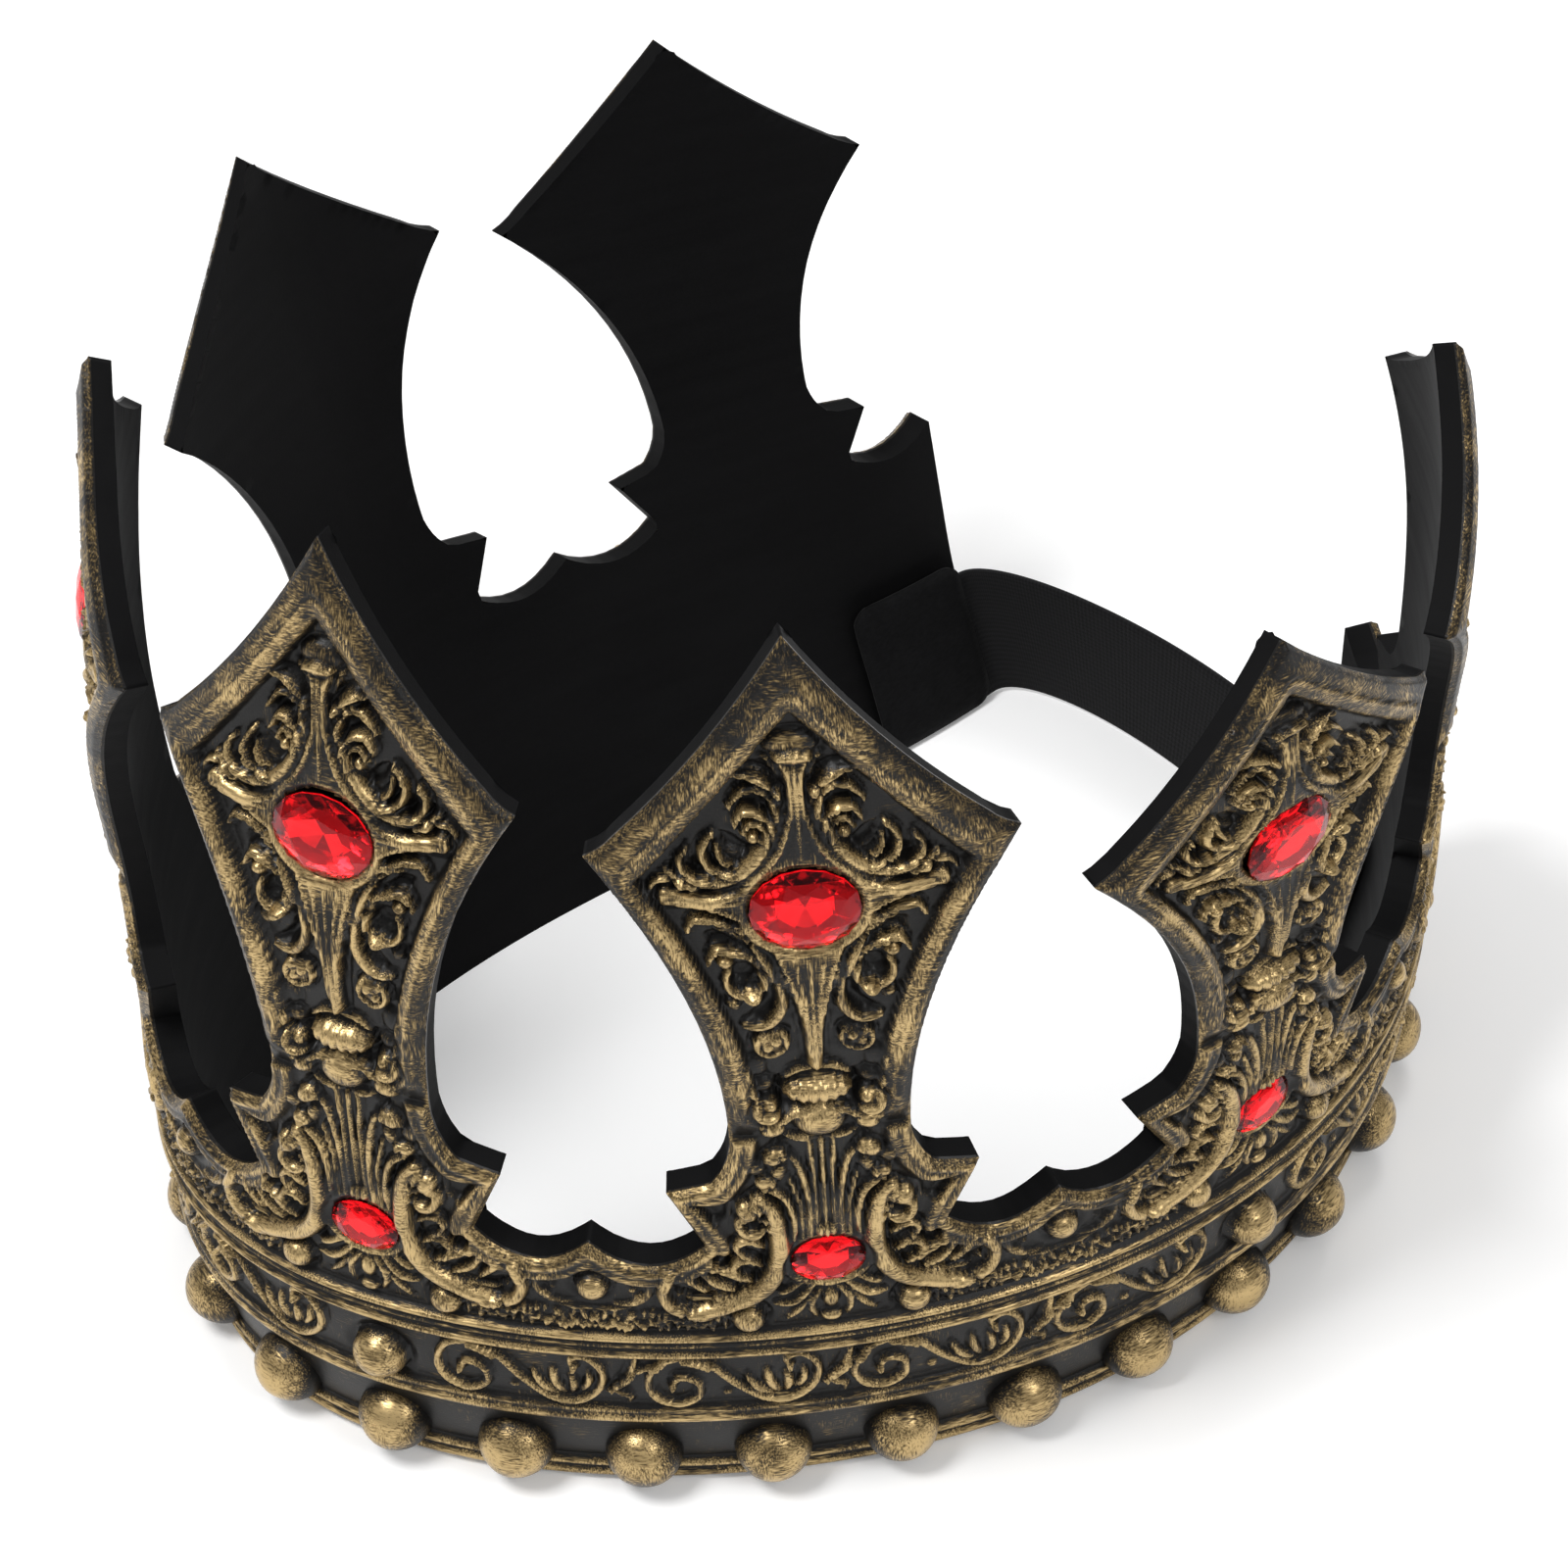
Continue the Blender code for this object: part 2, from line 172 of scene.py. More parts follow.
def frame_at(s, v):
    """A matrix at a place on the outer face: X along the strip, Y inward, Z up the wall."""
    here = Vector(surface(s, v, 0.0))
    along = (Vector(surface(s + 1, v, 0.0)) - Vector(surface(s - 1, v, 0.0))).normalized()
    up = Vector(surface(s, v + 1, 0.0)) - Vector(surface(s, v - 1, 0.0))
    inward = up.cross(along).normalized()
    up = along.cross(inward)
    return Matrix.Translation(here) @ Matrix((along, inward, up)).transposed().to_4x4()


# Outlines and distances in the flat.


def bowed(start, end, sag, steps=8):
    """Points from start up to but not at end, bowed by sag to the left of the way there."""
    start, end = np.array(start), np.array(end)
    side = np.array([start[1] - end[1], end[0] - start[0]])
    side = side / np.hypot(*side)
    parts = [step / steps for step in range(steps)]
    return [tuple(start + (end - start) * t + side * 4 * sag * t * (1 - t)) for t in parts]


def unit_edge():
    """Outline of half a unit from its tip to the valley's middle."""
    points = bowed(TIP, BEAK_ROOT, -1.2)
    points += bowed(BEAK_ROOT, SHOULDER, -0.4, steps=3)
    points += bowed(SHOULDER, WAIST, -5.0, steps=12)
    points += bowed(WAIST, SPUR_ROOT, -1.2, steps=4)
    points += [SPUR_ROOT, SPUR_TIP]
    points += bowed(NOTCH, VALLEY_PEAK, -5.0)
    return points + [VALLEY_PEAK]


def panel_edge():
    return [PANEL_TOP, *bowed(PANEL_SIDE, PANEL_FOOT, -3.2), PANEL_FOOT, (0.0, 98.0)]


def distance_to(points, u, v, closed=False):
    """Least distance from each place to a chain of points, and how far along the chain it falls."""
    points = np.array(points, float)
    if closed:
        points = np.vstack([points, points[:1]])
    starts, ends = points[:-1], points[1:]
    lengths = np.hypot(*(ends - starts).T)
    before = np.concatenate([[0.0], np.cumsum(lengths)])
    best = np.full(u.shape, 1e9)
    along = np.zeros(u.shape)
    for (a, b), (c, d), length, done in zip(starts, ends, lengths, before):
        if length < 1e-9:
            continue
        t = np.clip(((u - a) * (c - a) + (v - b) * (d - b)) / length**2, 0, 1)
        away = np.hypot(u - a - t * (c - a), v - b - t * (d - b))
        nearer = away < best
        best = np.where(nearer, away, best)
        along = np.where(nearer, done + t * length, along)
    return best, along / before[-1]


def inside(points, u, v):
    """Whether each place is inside a closed chain of points."""
    points = np.array(points, float)
    result = np.zeros(u.shape, bool)
    for (a, b), (c, d) in zip(points, np.roll(points, -1, axis=0)):
        crosses = (b > v) != (d > v)
        at = a + (v - b) * (c - a) / np.where(abs(d - b) < 1e-12, 1e-12, d - b)
        result ^= crosses & (u < at)
    return result


def smooth(low, high, x):
    t = np.clip((x - low) / (high - low), 0, 1)
    return t * t * (3 - 2 * t)


class Relief:
    """Heights over a flat rectangle, raised and sunk by strokes, domes and areas."""

    def __init__(self, width, low, high):
        self.low = low
        columns = int(round(width / PIXEL)) + 1
        rows = int(round((high - low) / PIXEL)) + 1
        self.u, self.v = np.meshgrid(np.arange(columns) * PIXEL, low + np.arange(rows) * PIXEL)
        self.h = np.zeros(self.u.shape)
        self.wash = np.zeros(self.u.shape)

    def distance(self, points, closed=False):
        """Distance of every pixel from a chain of points."""
        return distance_to(points, self.u, self.v, closed)[0]

    def inside(self, points):
        return inside(points, self.u, self.v)

    def window(self, points, reach):
        points = np.array(points, float)
        low = points.min(axis=0) - reach
        high = points.max(axis=0) + reach
        rows, columns = self.u.shape
        left, right = np.clip([low[0] / PIXEL, high[0] / PIXEL + 2], 0, columns).astype(int)
        first, last = ([low[1], high[1] + 2 * PIXEL] - np.array(self.low)) / PIXEL
        first, last = np.clip([first, last], 0, rows).astype(int)
        return slice(first, last), slice(left, right)

    def stroke(self, points, width, height, taper=0.35, halo=0.5):
        """A rounded ridge along points. It narrows by taper to each end and has a dark halo."""
        area = self.window(points, width * 2)
        u, v, h = self.u[area], self.v[area], self.h[area]
        if u.size == 0:
            return
        away, along = distance_to(points, u, v)
        wide = width * (1 - taper + taper * np.sin(np.pi * np.clip(along, 0.02, 0.98)) ** 0.7)
        ground = np.minimum(h, 0.6)
        dip = halo * smooth(wide * 1.9, wide * 1.0, away)
        lifted = ground + height * np.sqrt(np.clip(1 - (away / wide) ** 2, 0, 1)) * (wide / width)
        self.h[area] = np.where(away < wide, np.maximum(h, lifted), h - dip * (h < height * 0.5))

    def dome(self, centre, across, up, height, turn=0.0, halo=0.6, bottom=None):
        """A rounded boss with an oval foot."""
        area = self.window([centre], max(across, up) * 1.6)
        u, v = self.u[area] - centre[0], self.v[area] - centre[1]
        c, s = math.cos(turn), math.sin(turn)
        r = np.hypot((c * u + s * v) / across, (c * v - s * u) / up)
        h = self.h[area]
        ground = np.minimum(h, 0.8) if bottom is None else bottom
        lifted = ground + height * np.sqrt(np.clip(1 - r * r, 0, 1))
        self.h[area] = np.where(r < 1, np.maximum(h, lifted), h - halo * smooth(1.5, 1.0, r))

    def pit(self, points, depth, edge=0.6):
        """Sinks the area inside a closed chain of points to a depth, with sloped sides."""
        share = np.where(self.inside(points), smooth(0, edge, self.distance(points, closed=True)), 0)
        self.h = self.h * (1 - share) + depth * share

    def at(self, u, v):
        """Height at any places, blended between pixels."""
        x = np.clip(u / PIXEL, 0, self.u.shape[1] - 1.001)
        y = np.clip((v - self.low) / PIXEL, 0, self.u.shape[0] - 1.001)
        i, j = x.astype(int), y.astype(int)
        a, b = x - i, y - j
        h = self.h
        upper = h[j + 1, i] * (1 - a) + h[j + 1, i + 1] * a
        return (h[j, i] * (1 - a) + h[j, i + 1] * a) * (1 - b) + upper * b


def arc(centre, radius, start, end, steps=14, squeeze=1.0):
    """Points on an arc, from the angle start to end in degrees."""
    angles = np.radians(np.linspace(start, end, steps))
    x = centre[0] + radius * np.cos(angles)
    return list(zip(x, centre[1] + radius * squeeze * np.sin(angles)))


def flow(*points, steps=20):
    """A smooth curve through a few points (Catmull-Rom)."""
    p = np.array([points[0], *points, points[-1]], float)
    out = []
    for a, b, c, d in zip(p[:-3], p[1:-2], p[2:-1], p[3:]):
        for t in np.linspace(0, 1, max(3, steps // (len(points) - 1)), endpoint=False):
            out.append(
                0.5 * (2 * b + (c - a) * t + (2 * a - 5 * b + 4 * c - d) * t**2
                       + (3 * b - a - 3 * c + d) * t**3)
            )
    return [tuple(q) for q in out] + [tuple(p[-1])]


# The relief of one unit, drawn for its right half.


# Centre, half width and height of each long ridge of the band.
MOULDING_LINES = (
    (1.9, 1.8, 2.3),
    (4.7, 1.1, 1.6),
    (21.4, 1.3, 1.7),
    (23.2, 0.6, 1.1),
    (39.9, 1.0, 2.1),
    (41.9, 0.8, 1.5),
    (44.0, 1.0, 2.0),
)


def mouldings(v):
    """The long ridges of the band, which run all the way round."""
    h = np.zeros(np.shape(v))
    for centre, half, height in MOULDING_LINES:
        h = np.maximum(h, height * np.sqrt(np.clip(1 - ((v - centre) / half) ** 2, 0, 1)))
    ground = -0.5 * smooth(5.6, 6.4, v) * smooth(20.2, 19.6, v)
    ground += 0.9 * smooth(38.6, 39.2, v) * smooth(45.2, 44.6, v)
    ground += 0.7 * smooth(20.0, 20.5, v) * smooth(24.2, 23.6, v)
    return np.maximum(h, ground)


def point_border(relief, edge, panel):
    """Frame of the point: a low roof with a scored line on its crest, then a sharp step down."""
    v = relief.v
    to_edge, to_panel = relief.distance(edge), relief.distance(panel)
    in_panel = relief.inside(panel)
    q = to_edge / (to_edge + to_panel + 1e-6)
    face = 0.9 * smooth(0.0, 0.1, q) + 2.6 * np.clip(q, 0, 0.5) - 3.0 * np.clip(q - 0.56, 0, 0.44)
    scored = -0.5 * np.exp(-(((q - 0.54) / 0.035) ** 2))
    share = smooth(92.0, 98.0, v)
    relief.h = np.where(in_panel | (v < 92), relief.h, (face + scored) * share)
    crest = np.exp(-(((q - 0.46) / 0.07) ** 2))
    wash = 0.14 * smooth(0.56, 0.68, q) - 0.27 * crest - 0.17 * smooth(0.28, 0.08, q)
    wash -= 0.13 * smooth(150.0, 136.0, v)
    relief.wash = np.where(in_panel, 0.07, share * wash)
    relief.h = np.where(in_panel, -1.5 * smooth(0.0, 0.4, to_panel), relief.h)


def lower_border(relief, edge):
    """The ridge that follows the neck, the spur and the valley's edge."""
    to_edge = relief.distance(edge)
    band = 1.5 * smooth(0.0, 1.0, to_edge) * smooth(5.0, 3.4, to_edge)
    band -= 0.35 * np.exp(-(((to_edge - 2.2) / 0.35) ** 2))
    where = (relief.v < 100) & (relief.v > 50)
    relief.h = np.where(where, np.maximum(relief.h, band * smooth(100, 92, relief.v)), relief.h)


STAR_EDGE = (
    ((3.4, 169.6), (2, 165), (1.9, 160), (3.2, 154.6), (6.4, 149.4), (10.6, 146), (15.5, 144.8)),
    ((15.5, 144.8), (19.5, 145.6), (22.4, 146), (23.6, 143.8), (22.6, 142)),
    ((22.6, 142), (18, 141.9), (13.4, 140.6), (9.4, 137), (5.8, 131.2), (3.6, 124)),
    ((3.6, 124), (2.2, 117), (1.5, 107.5)),
)


def star(relief):
    """A solid four-armed star with hollow sides under the large gem, fluted along its arms."""
    chain = [(0, 171)]
    for part in STAR_EDGE:
        chain += flow(*part)
    chain.append((0, 107))
    to_edge = relief.distance(chain[1:-1])
    body = relief.inside(chain)
    relief.h = np.where(body, np.maximum(relief.h, -1.5 + 2.1 * smooth(0, 0.9, to_edge)), relief.h)
    relief.h = np.where(~body & (to_edge < 0.7) & (relief.h < 0), -2, relief.h)
    relief.wash = np.where(body, 0.06 - 0.10 * smooth(0.5, 2.2, to_edge), relief.wash)
    stems = (
        ((0, 169.5), (0, 160), (0, 151)),
        ((1, 167), (1, 160), (3, 152)),
        ((1.4, 158), (3.2, 152.6), (6.6, 147.8)),
        ((8.6, 146), (13, 143.8), (20, 144)),
        ((10, 143.2), (15, 142.9), (21.5, 143.4)),
        ((9.8, 139.6), (14, 141.9), (19, 142.6)),
        ((0, 131), (0, 120), (0, 107.5)),
        ((2.4, 131.4), (1.2, 122), (0.8, 110)),
        ((5, 132.4), (2.8, 125.4), (1.5, 117)),
    )
    for stem in stems:
        relief.stroke(flow(*stem), 0.42, 0.75, taper=0.5, halo=0.35)
    # The mushroom cap of the upper arm and the hook at the end of the side arm.
    relief.dome((0, 171.2), 4.6, 2.5, 1.7, halo=0.5)
    relief.stroke(flow((0, 169.9), (2.4, 169.7), (4.6, 169)), 0.55, 1.3, taper=0.2, halo=0.3)
    relief.stroke(flow((3.8, 168.8), (2.5, 165.6), (2.4, 162.6)), 0.5, 1.5, taper=0.3, halo=0.3)
    relief.stroke(flow((17, 145.6), (21.6, 147.2), (24, 145.6), (23.8, 142)), 0.7, 1.7)


def leaves(relief, *fingers):
    """Fingers of a leaf: each a soft body under a fine raised midrib that swells at its tip."""
    for points, width, height in fingers:
        path = flow(*points)
        relief.stroke(path, width, height * 0.7, taper=0.55, halo=0.9)
        relief.stroke(path, width * 0.38, height * 0.6, taper=0.3, halo=0)
        relief.dome(path[-1], width * 0.7, width * 0.6, height * 0.5, halo=0.2)


def upper_leaves(relief):
    """Acanthus leaves in the corner between the upper arm and the side arm."""
    pits = (
        ((8, 150.4), (7.6, 152.4), (10.4, 155), (13, 155.8), (11.6, 152.4)),
        ((4.8, 160), (6, 162.2), (9.4, 161.8), (9.6, 160.2), (6.6, 160.6)),
        ((16.2, 149.6), (17.4, 151.6), (17.2, 148.4), (14.9, 147)),
    )
    for chain in pits:
        relief.pit(chain, -2.8, edge=0.5)
    spine = flow((2.6, 162.6), (3.2, 157), (5.4, 152.2), (8.8, 148.4), (13, 146.6), (19, 146.8))
    relief.stroke(spine, 1.7, 2.3)
    leaves(
        relief,
        (((2.8, 162.4), (5.2, 165), (8.8, 166.6)), 1.5, 2),
        (((3.2, 159.4), (4.8, 162.6), (8, 163.4), (10.6, 160.6)), 0.9, 2),
        (((4, 156), (5.6, 158.8), (8.4, 159.4), (9.9, 157.2)), 0.9, 2.2),
        (((5.2, 153.6), (5.4, 156.6), (7.4, 157.4), (8.7, 155.6)), 0.8, 2.2),
    )
    relief.dome((7, 154.6), 1.3, 1.2, 2.2)
    leaves(
        relief,
        (((10.8, 148), (14.4, 149.4), (15.4, 152.6), (13.6, 155.6)), 0.95, 2.2),
        (((10.4, 149.6), (12.4, 150.6), (13.2, 153.4)), 0.7, 1.9),
        (((14.4, 147), (18, 148.2), (19.2, 150.6), (18, 152.8)), 0.9, 2.1),
        (((18.6, 147.2), (21.6, 148.8)), 0.8, 1.8),
    )


def lower_leaves(relief):
    """Acanthus leaves between the side arm and the lower arm, curled round two dark eyes."""
    relief.pit(arc((10.6, 127.8), 2.1, 0, 340), -2.8, edge=0.5)
    hollow = [(5.6, 124.6), (5.6, 121), (8.4, 117.6), (10.8, 118), (8, 121.2), (7.4, 124)]
    relief.pit(hollow, -2.8)
    relief.pit([(10.6, 133.4), (13.6, 136.8), (16.4, 136.4), (15.2, 133.8), (12.6, 133.6)], -2.6)
    spine = (
        (10.4, 137.8), (7.4, 133), (5.4, 128.4), (4.4, 123.4), (5.2, 119.4), (7.8, 116.6),
        (10.8, 117),
    )
    relief.stroke(flow(*spine), 1.15, 2.2, taper=0.4)
    relief.stroke(flow((8.8, 133.4), (7.2, 129.6), (6.8, 126.4)), 1.5, 1.7, taper=0.4, halo=0.3)
    leaves(
        relief,
        (((10, 137.2), (14, 139.2), (17.4, 139.4), (18.8, 137.2)), 0.95, 2),
        (((9.4, 134.6), (11.6, 137), (14.6, 137.8)), 0.7, 1.8),
        (((8.8, 131.6), (11.4, 132.8), (14.2, 133.4), (15.8, 131)), 0.9, 2.2),
    )
    relief.dome((13.2, 130.8), 1.5, 1.2, 2.2, halo=0.5)
    relief.stroke(arc((10.2, 126.8), 3.1, 150, 400), 0.85, 2.1, taper=0.3, halo=0.4)
    relief.dome((9.3, 124.4), 1.5, 1.1, 2, halo=0.4)
    relief.dome((12.4, 121.8), 1.6, 1.2, 1.5, turn=0.6, halo=0.4)
    relief.dome((6.9, 112.9), 3.1, 2.7, 1.6, turn=-0.4)
    relief.stroke(arc((6.8, 113), 2.7, 130, 420), 0.6, 1.2, taper=0.3)
    for spot in ((6, 113.6), (7.6, 112.4), (8.2, 114.2)):
        relief.dome(spot, 0.8, 0.7, 0.9, halo=0.2)
    relief.dome((9.6, 107.4), 2, 2.6, 1, halo=0.3)


def neck_tie(relief):
    """Bulging lobes in two rows that bind the foot of the point."""
    relief.stroke(flow((0, 106.6), (3.2, 106.2), (5.6, 104.2)), 0.55, 1.4, taper=0.3)
    relief.dome((0, 101.9), 5.8, 2.5, 3, halo=1.2, bottom=-0.6)
    on_bar = np.hypot(relief.u / 5.6, (relief.v - 101.9) / 2.4) < 1
    relief.h -= np.where(on_bar, 0.3 + 0.3 * np.cos(2 * np.pi * relief.u / 1.7), 0)
    relief.dome((0, 95.6), 4.4, 3.5, 3.2, halo=1, bottom=-0.4)
    lobes = smooth(7, 5, relief.u) * smooth(91, 93, relief.v) * smooth(105, 103.5, relief.v)
    relief.wash -= 0.24 * lobes
    relief.stroke(flow((0, 99), (3.2, 98), (6.2, 96.2), (9.8, 94.8)), 0.55, 1.6, taper=0.3)
    relief.dome((8.4, 98.8), 2.5, 2.4, 2.6, halo=1)
    relief.dome((7.6, 99.6), 1, 0.9, 1, halo=0)
    relief.dome((8.8, 103), 2.3, 1.7, 1.4, halo=0.5)
    relief.dome((7.6, 94), 2.3, 1.4, 1.6, turn=-0.5)
    relief.stroke(flow((0, 91.4), (3.6, 91.4), (6.4, 93.2)), 0.5, 1.3, taper=0.3)


def palmette(relief):
    """Fluted stems that rise from the small gem to the tie, and the leaves beside them."""
    relief.pit([(4.6, 91.6), (6.6, 92.6), (8.4, 90.2), (6.8, 89.4)], -1.4, edge=0.5)
    stems = (
        ((0, 67.5), (0, 80), (0, 90.5)),
        ((1.3, 67.6), (1.4, 79), (2, 90.5)),
        ((2.6, 67.6), (2.6, 77), (4.2, 85.6), (6.4, 88)),
        ((3.8, 67.4), (4, 75), (5.6, 82)),
    )
    for stem, width in zip(stems, (0.6, 0.45, 0.75, 0.45)):
        relief.stroke(flow(*stem), width, 1.5, taper=0.25)
    relief.stroke(flow((5.6, 66.6), (5.3, 72), (6.6, 77.6), (9.8, 80.2)), 0.8, 1.8, taper=0.3)
    relief.dome((7.8, 87.6), 2.3, 1.6, 2.2, turn=-0.6, halo=0.7)
    relief.dome((7.4, 83.2), 1.3, 2.4, 1.3, turn=0.5, halo=0.4)
    relief.dome((9.6, 81.6), 1.8, 1.5, 2)
    relief.dome((10.6, 85), 1.3, 2, 1.2, turn=0.4, halo=0.3)
    relief.dome((0, 69), 1.7, 2, 1.2, halo=0.2)


def side_scroll(relief):
    """The big C-scroll leaf on each side of the small gem."""
    relief.pit(arc((22, 55), 3.4, 180, 400, squeeze=0.6), -1.4)
    relief.pit(arc((17.6, 63.6), 1.9, 0, 340), -1.8, edge=0.5)
    back = (
        (11, 77.6), (8.8, 74.6), (7.9, 69), (8.2, 62.6), (11, 56.6), (16.6, 52.6), (22.6, 50.6),
    )
    relief.stroke(flow(*back), 1.9, 2.8, taper=0.25, halo=0.8)
    relief.stroke(flow((22, 50.7), (26.4, 52), (28, 56), (26.6, 60.4)), 1.3, 2.4, taper=0.25)
    # The ball and hook at the top of the scroll.
    relief.dome((12.6, 75.4), 2.3, 2.2, 2.8)
    relief.stroke(arc((12, 72.2), 2.4, -150, 60), 0.95, 2.4, taper=0.2, halo=0.7)
    relief.dome((10.6, 73), 1, 1, 2, halo=0.3)
    leaves(
        relief,
        (((10.4, 66.4), (13.4, 68.2), (15.2, 66.6), (14.2, 64.6)), 0.9, 2.2),
        (((10.8, 62), (13.8, 63.6), (15.8, 62), (15, 59.8)), 0.95, 2.2),
        (((12.8, 58.4), (16.6, 60.6), (19.4, 61.8)), 1.2, 2.2),
        (((16, 56.4), (19.4, 58.4), (21.2, 61.6)), 1, 2.1),
        (((20.6, 56.2), (22.8, 58.4), (24.4, 61)), 0.9, 2),
        (((13.6, 56.6), (18, 54.2), (23, 53.6), (25.4, 55.6)), 0.6, 1.6),
    )


def gem_petals(relief):
    """Petals and curls under the small gem."""
    relief.stroke(flow((0, 54.2), (0, 51.5), (0, 49.2)), 1.5, 1.5, taper=0.8, halo=0.3)
    petals = (
        (((1.6, 54), (3.4, 50.4), (2.4, 47.2)), 0.65, 1.4, 0.4),
        (((3, 55), (6.2, 51.8), (9.4, 51.4)), 0.75, 1.4, 0.5),
        (((4.8, 56.4), (8, 54.6), (9.8, 55.6)), 0.65, 1.3, 0.5),
        (((2.8, 53.6), (5.4, 49.6), (7.6, 47.4)), 0.6, 1.2, 0.4),
    )
    for points, width, height, taper in petals:
        relief.stroke(flow(*points), width, height, taper)
    relief.dome((0, 47.2), 2, 1.2, 1.5, halo=0.3)


def valley(relief):
    """Hollow with a stud under each valley's peak, the curls at its ends and rough ground."""
    relief.pit([(31.2, 56.6), (34.6, 60.2), (40.2, 62.8), (40.2, 52), (33.4, 52.6)], -1.7, edge=1)
    relief.stroke(flow((30.6, 59.4), (30.4, 55.6), (32.8, 53.2), (36.4, 52.6)), 0.8, 1.5, taper=0.4)
    # A hooked leaf: a low body with a raised rim that winds in to a small knob.
    angles = np.radians(np.linspace(200, 460, 30))
    radius = np.linspace(1.5, 0.42, 30)
    path = list(zip(33.2 + radius * np.cos(angles), 55.4 + radius * np.sin(angles)))
    relief.dome((33.2, 55.4), 1.725, 1.575, 0.585)
    relief.stroke(path, 0.6, 1.3, taper=0.25)
    relief.dome(path[-1], 0.75, 0.75, 1.17, halo=0.2)
    relief.stroke(flow((33, 52), (36.5, 51.2), (40, 50.9)), 0.6, 1, taper=0.3)
    dots = np.random.default_rng(7)
    for _ in range(260):
        spot = (dots.uniform(17, 40.5), dots.uniform(46.2, 50.4))
        size = dots.uniform(0.35, 0.75)
        relief.dome(spot, size * 0.7, size * dots.uniform(1, 1.6), dots.uniform(0.5, 1.1), halo=0.15)


def gem_seat(relief, spec):
    """A seat sunk under a gem, level ground at its edge and a thin collar round it."""
    height, across, up, depth, _ = spec
    r = np.hypot(relief.u / across, (relief.v - height) / up)
    rim = (r - 1) * (across + up) / 2
    level = smooth(1.5, 0.5, rim)
    collar = 0.7 * np.exp(-(((rim - 0.8) / 0.45) ** 2)) * (rim < 3)
    ground = np.maximum(relief.h * (1 - level) + 0.1 * level, np.where(collar > 0.05, collar, -9))
    relief.h = np.where(rim < -0.7, -depth - 0.3, ground)


def unit_relief():
    relief = Relief(PITCH / 2, 0.0, RELIEF_TOP)
    edge, panel = unit_edge(), panel_edge()
    valley(relief)
    lower_border(relief, edge)
    point_border(relief, edge, panel)
    # The dark three-cornered hollow in the spur.
    relief.pit([(15.6, 77.2), (22.6, 77.4), (18.6, 71.6), (16.0, 73.4)], -1.2, edge=0.7)
    star(relief)
    upper_leaves(relief)
    lower_leaves(relief)
    palmette(relief)
    side_scroll(relief)
    gem_petals(relief)
    neck_tie(relief)
    gem_seat(relief, LARGE_GEM)
    gem_seat(relief, SMALL_GEM)
    for u, v, radius in (FRIEZE_STUD, VALLEY_STUD):
        relief.dome((u, v), radius, radius, radius + 0.3, halo=1.0, bottom=-0.4)
    below = relief.v < FRIEZE_BASE
    relief.h = np.where(below, mouldings(relief.v), np.clip(relief.h, -3.0, 4.0))
    return relief


COIL = (
    (5.5, 36), (1.5, 38), (-3, 36.4), (-5.2, 31.2), (-3.8, 26.8), (0.2, 25.2), (3.6, 27.6),
    (3.2, 31.4), (0.4, 32.6), (-1, 30.6),
)
VINE = (
    (1.5, 38), (5.5, 36), (10, 30.4), (15, 25.8), (19.6, 25.4), (23.4, 29), (24, 34),
    (21.4, 37.6), (18.8, 36.8), (19.2, 34.8),
)
TENDRILS = (
    (((16.4, 26.6), (13.4, 29), (11.8, 32.6)), 0.8),
    (((17.2, 27), (15.8, 30), (15.4, 33.6)), 0.9),
    (((18.4, 27.2), (19, 29.8), (18.4, 32.4)), 0.9),
    (((20, 28), (21.6, 30.6), (21.4, 33.4)), 0.7),
    (((24.6, 28), (28.4, 32.4), (30.2, 38.2)), 0.8),
    (((26, 29.6), (30, 34), (35, 36.6)), 0.6),
    (((24.6, 29), (28.4, 27.4), (28.2, 24.8)), 0.6),
)


def scroll_relief():
    """The running vine between the mouldings. It repeats every two units from a stud."""
    relief = Relief(2 * PITCH, *SCROLL_BAND)
    relief.h[:] = -0.4
    for start in (16.0, 53.0, 88.5, 124.5):
        for path in (VINE, COIL):
            curve = flow(*[(start + u, v) for u, v in path], steps=60)
            relief.stroke(curve, 0.72, 1.7, taper=0.15, halo=0.3)
        relief.dome((start - 0.9, 30.6), 1.0, 1.0, 1.4, halo=0.2)
        relief.dome((start + 19.4, 34.9), 1.0, 1.0, 1.4, halo=0.2)
        for path, width in TENDRILS:
            if start + path[-1][0] < 2 * PITCH - 8:
                curve = flow(*[(start + u, v) for u, v in path])
                relief.stroke(curve, width, 1.5, taper=0.6, halo=0.3)
        relief.dome((start + 8.4, 27.6), 1.1, 0.7, 0.9, halo=0.2)
    for u in (0.0, 2 * PITCH):
        relief.dome((u, SCROLL_STUD[0]), SCROLL_STUD[1], SCROLL_STUD[1], 5.4, halo=0.8, bottom=-0.4)
    return relief


def blurred(h, radius):
    """A moving mean taken three times each way, close to a Gaussian."""
    size = max(1, int(round(radius / PIXEL)))
    for axis in (0, 1):
        for _ in range(3):
            padded = np.pad(h, [(size, size) if a == axis else (0, 0) for a in (0, 1)], mode="edge")
            total = np.cumsum(padded, axis=axis)
            high = np.take(total, np.arange(2 * size, total.shape[axis]), axis=axis)
            low = np.take(total, np.arange(0, total.shape[axis] - 2 * size), axis=axis)
            h = (high - low) / (2 * size)
    return h


def gilt_of(relief):
    """How much gold a dry brush leaves: most on what stands proud of the ground round it."""
    crisp, proud, broad = (relief.h - blurred(relief.h, radius) for radius in (0.6, 1.6, 5.0))
    result = copy(relief)
    result.h = 0.30 + 0.42 * crisp + 0.30 * proud + 0.18 * broad + 0.04 * relief.h + relief.wash
    result.h = np.clip(result.h, 0, 1)
    return result


# Meshes.


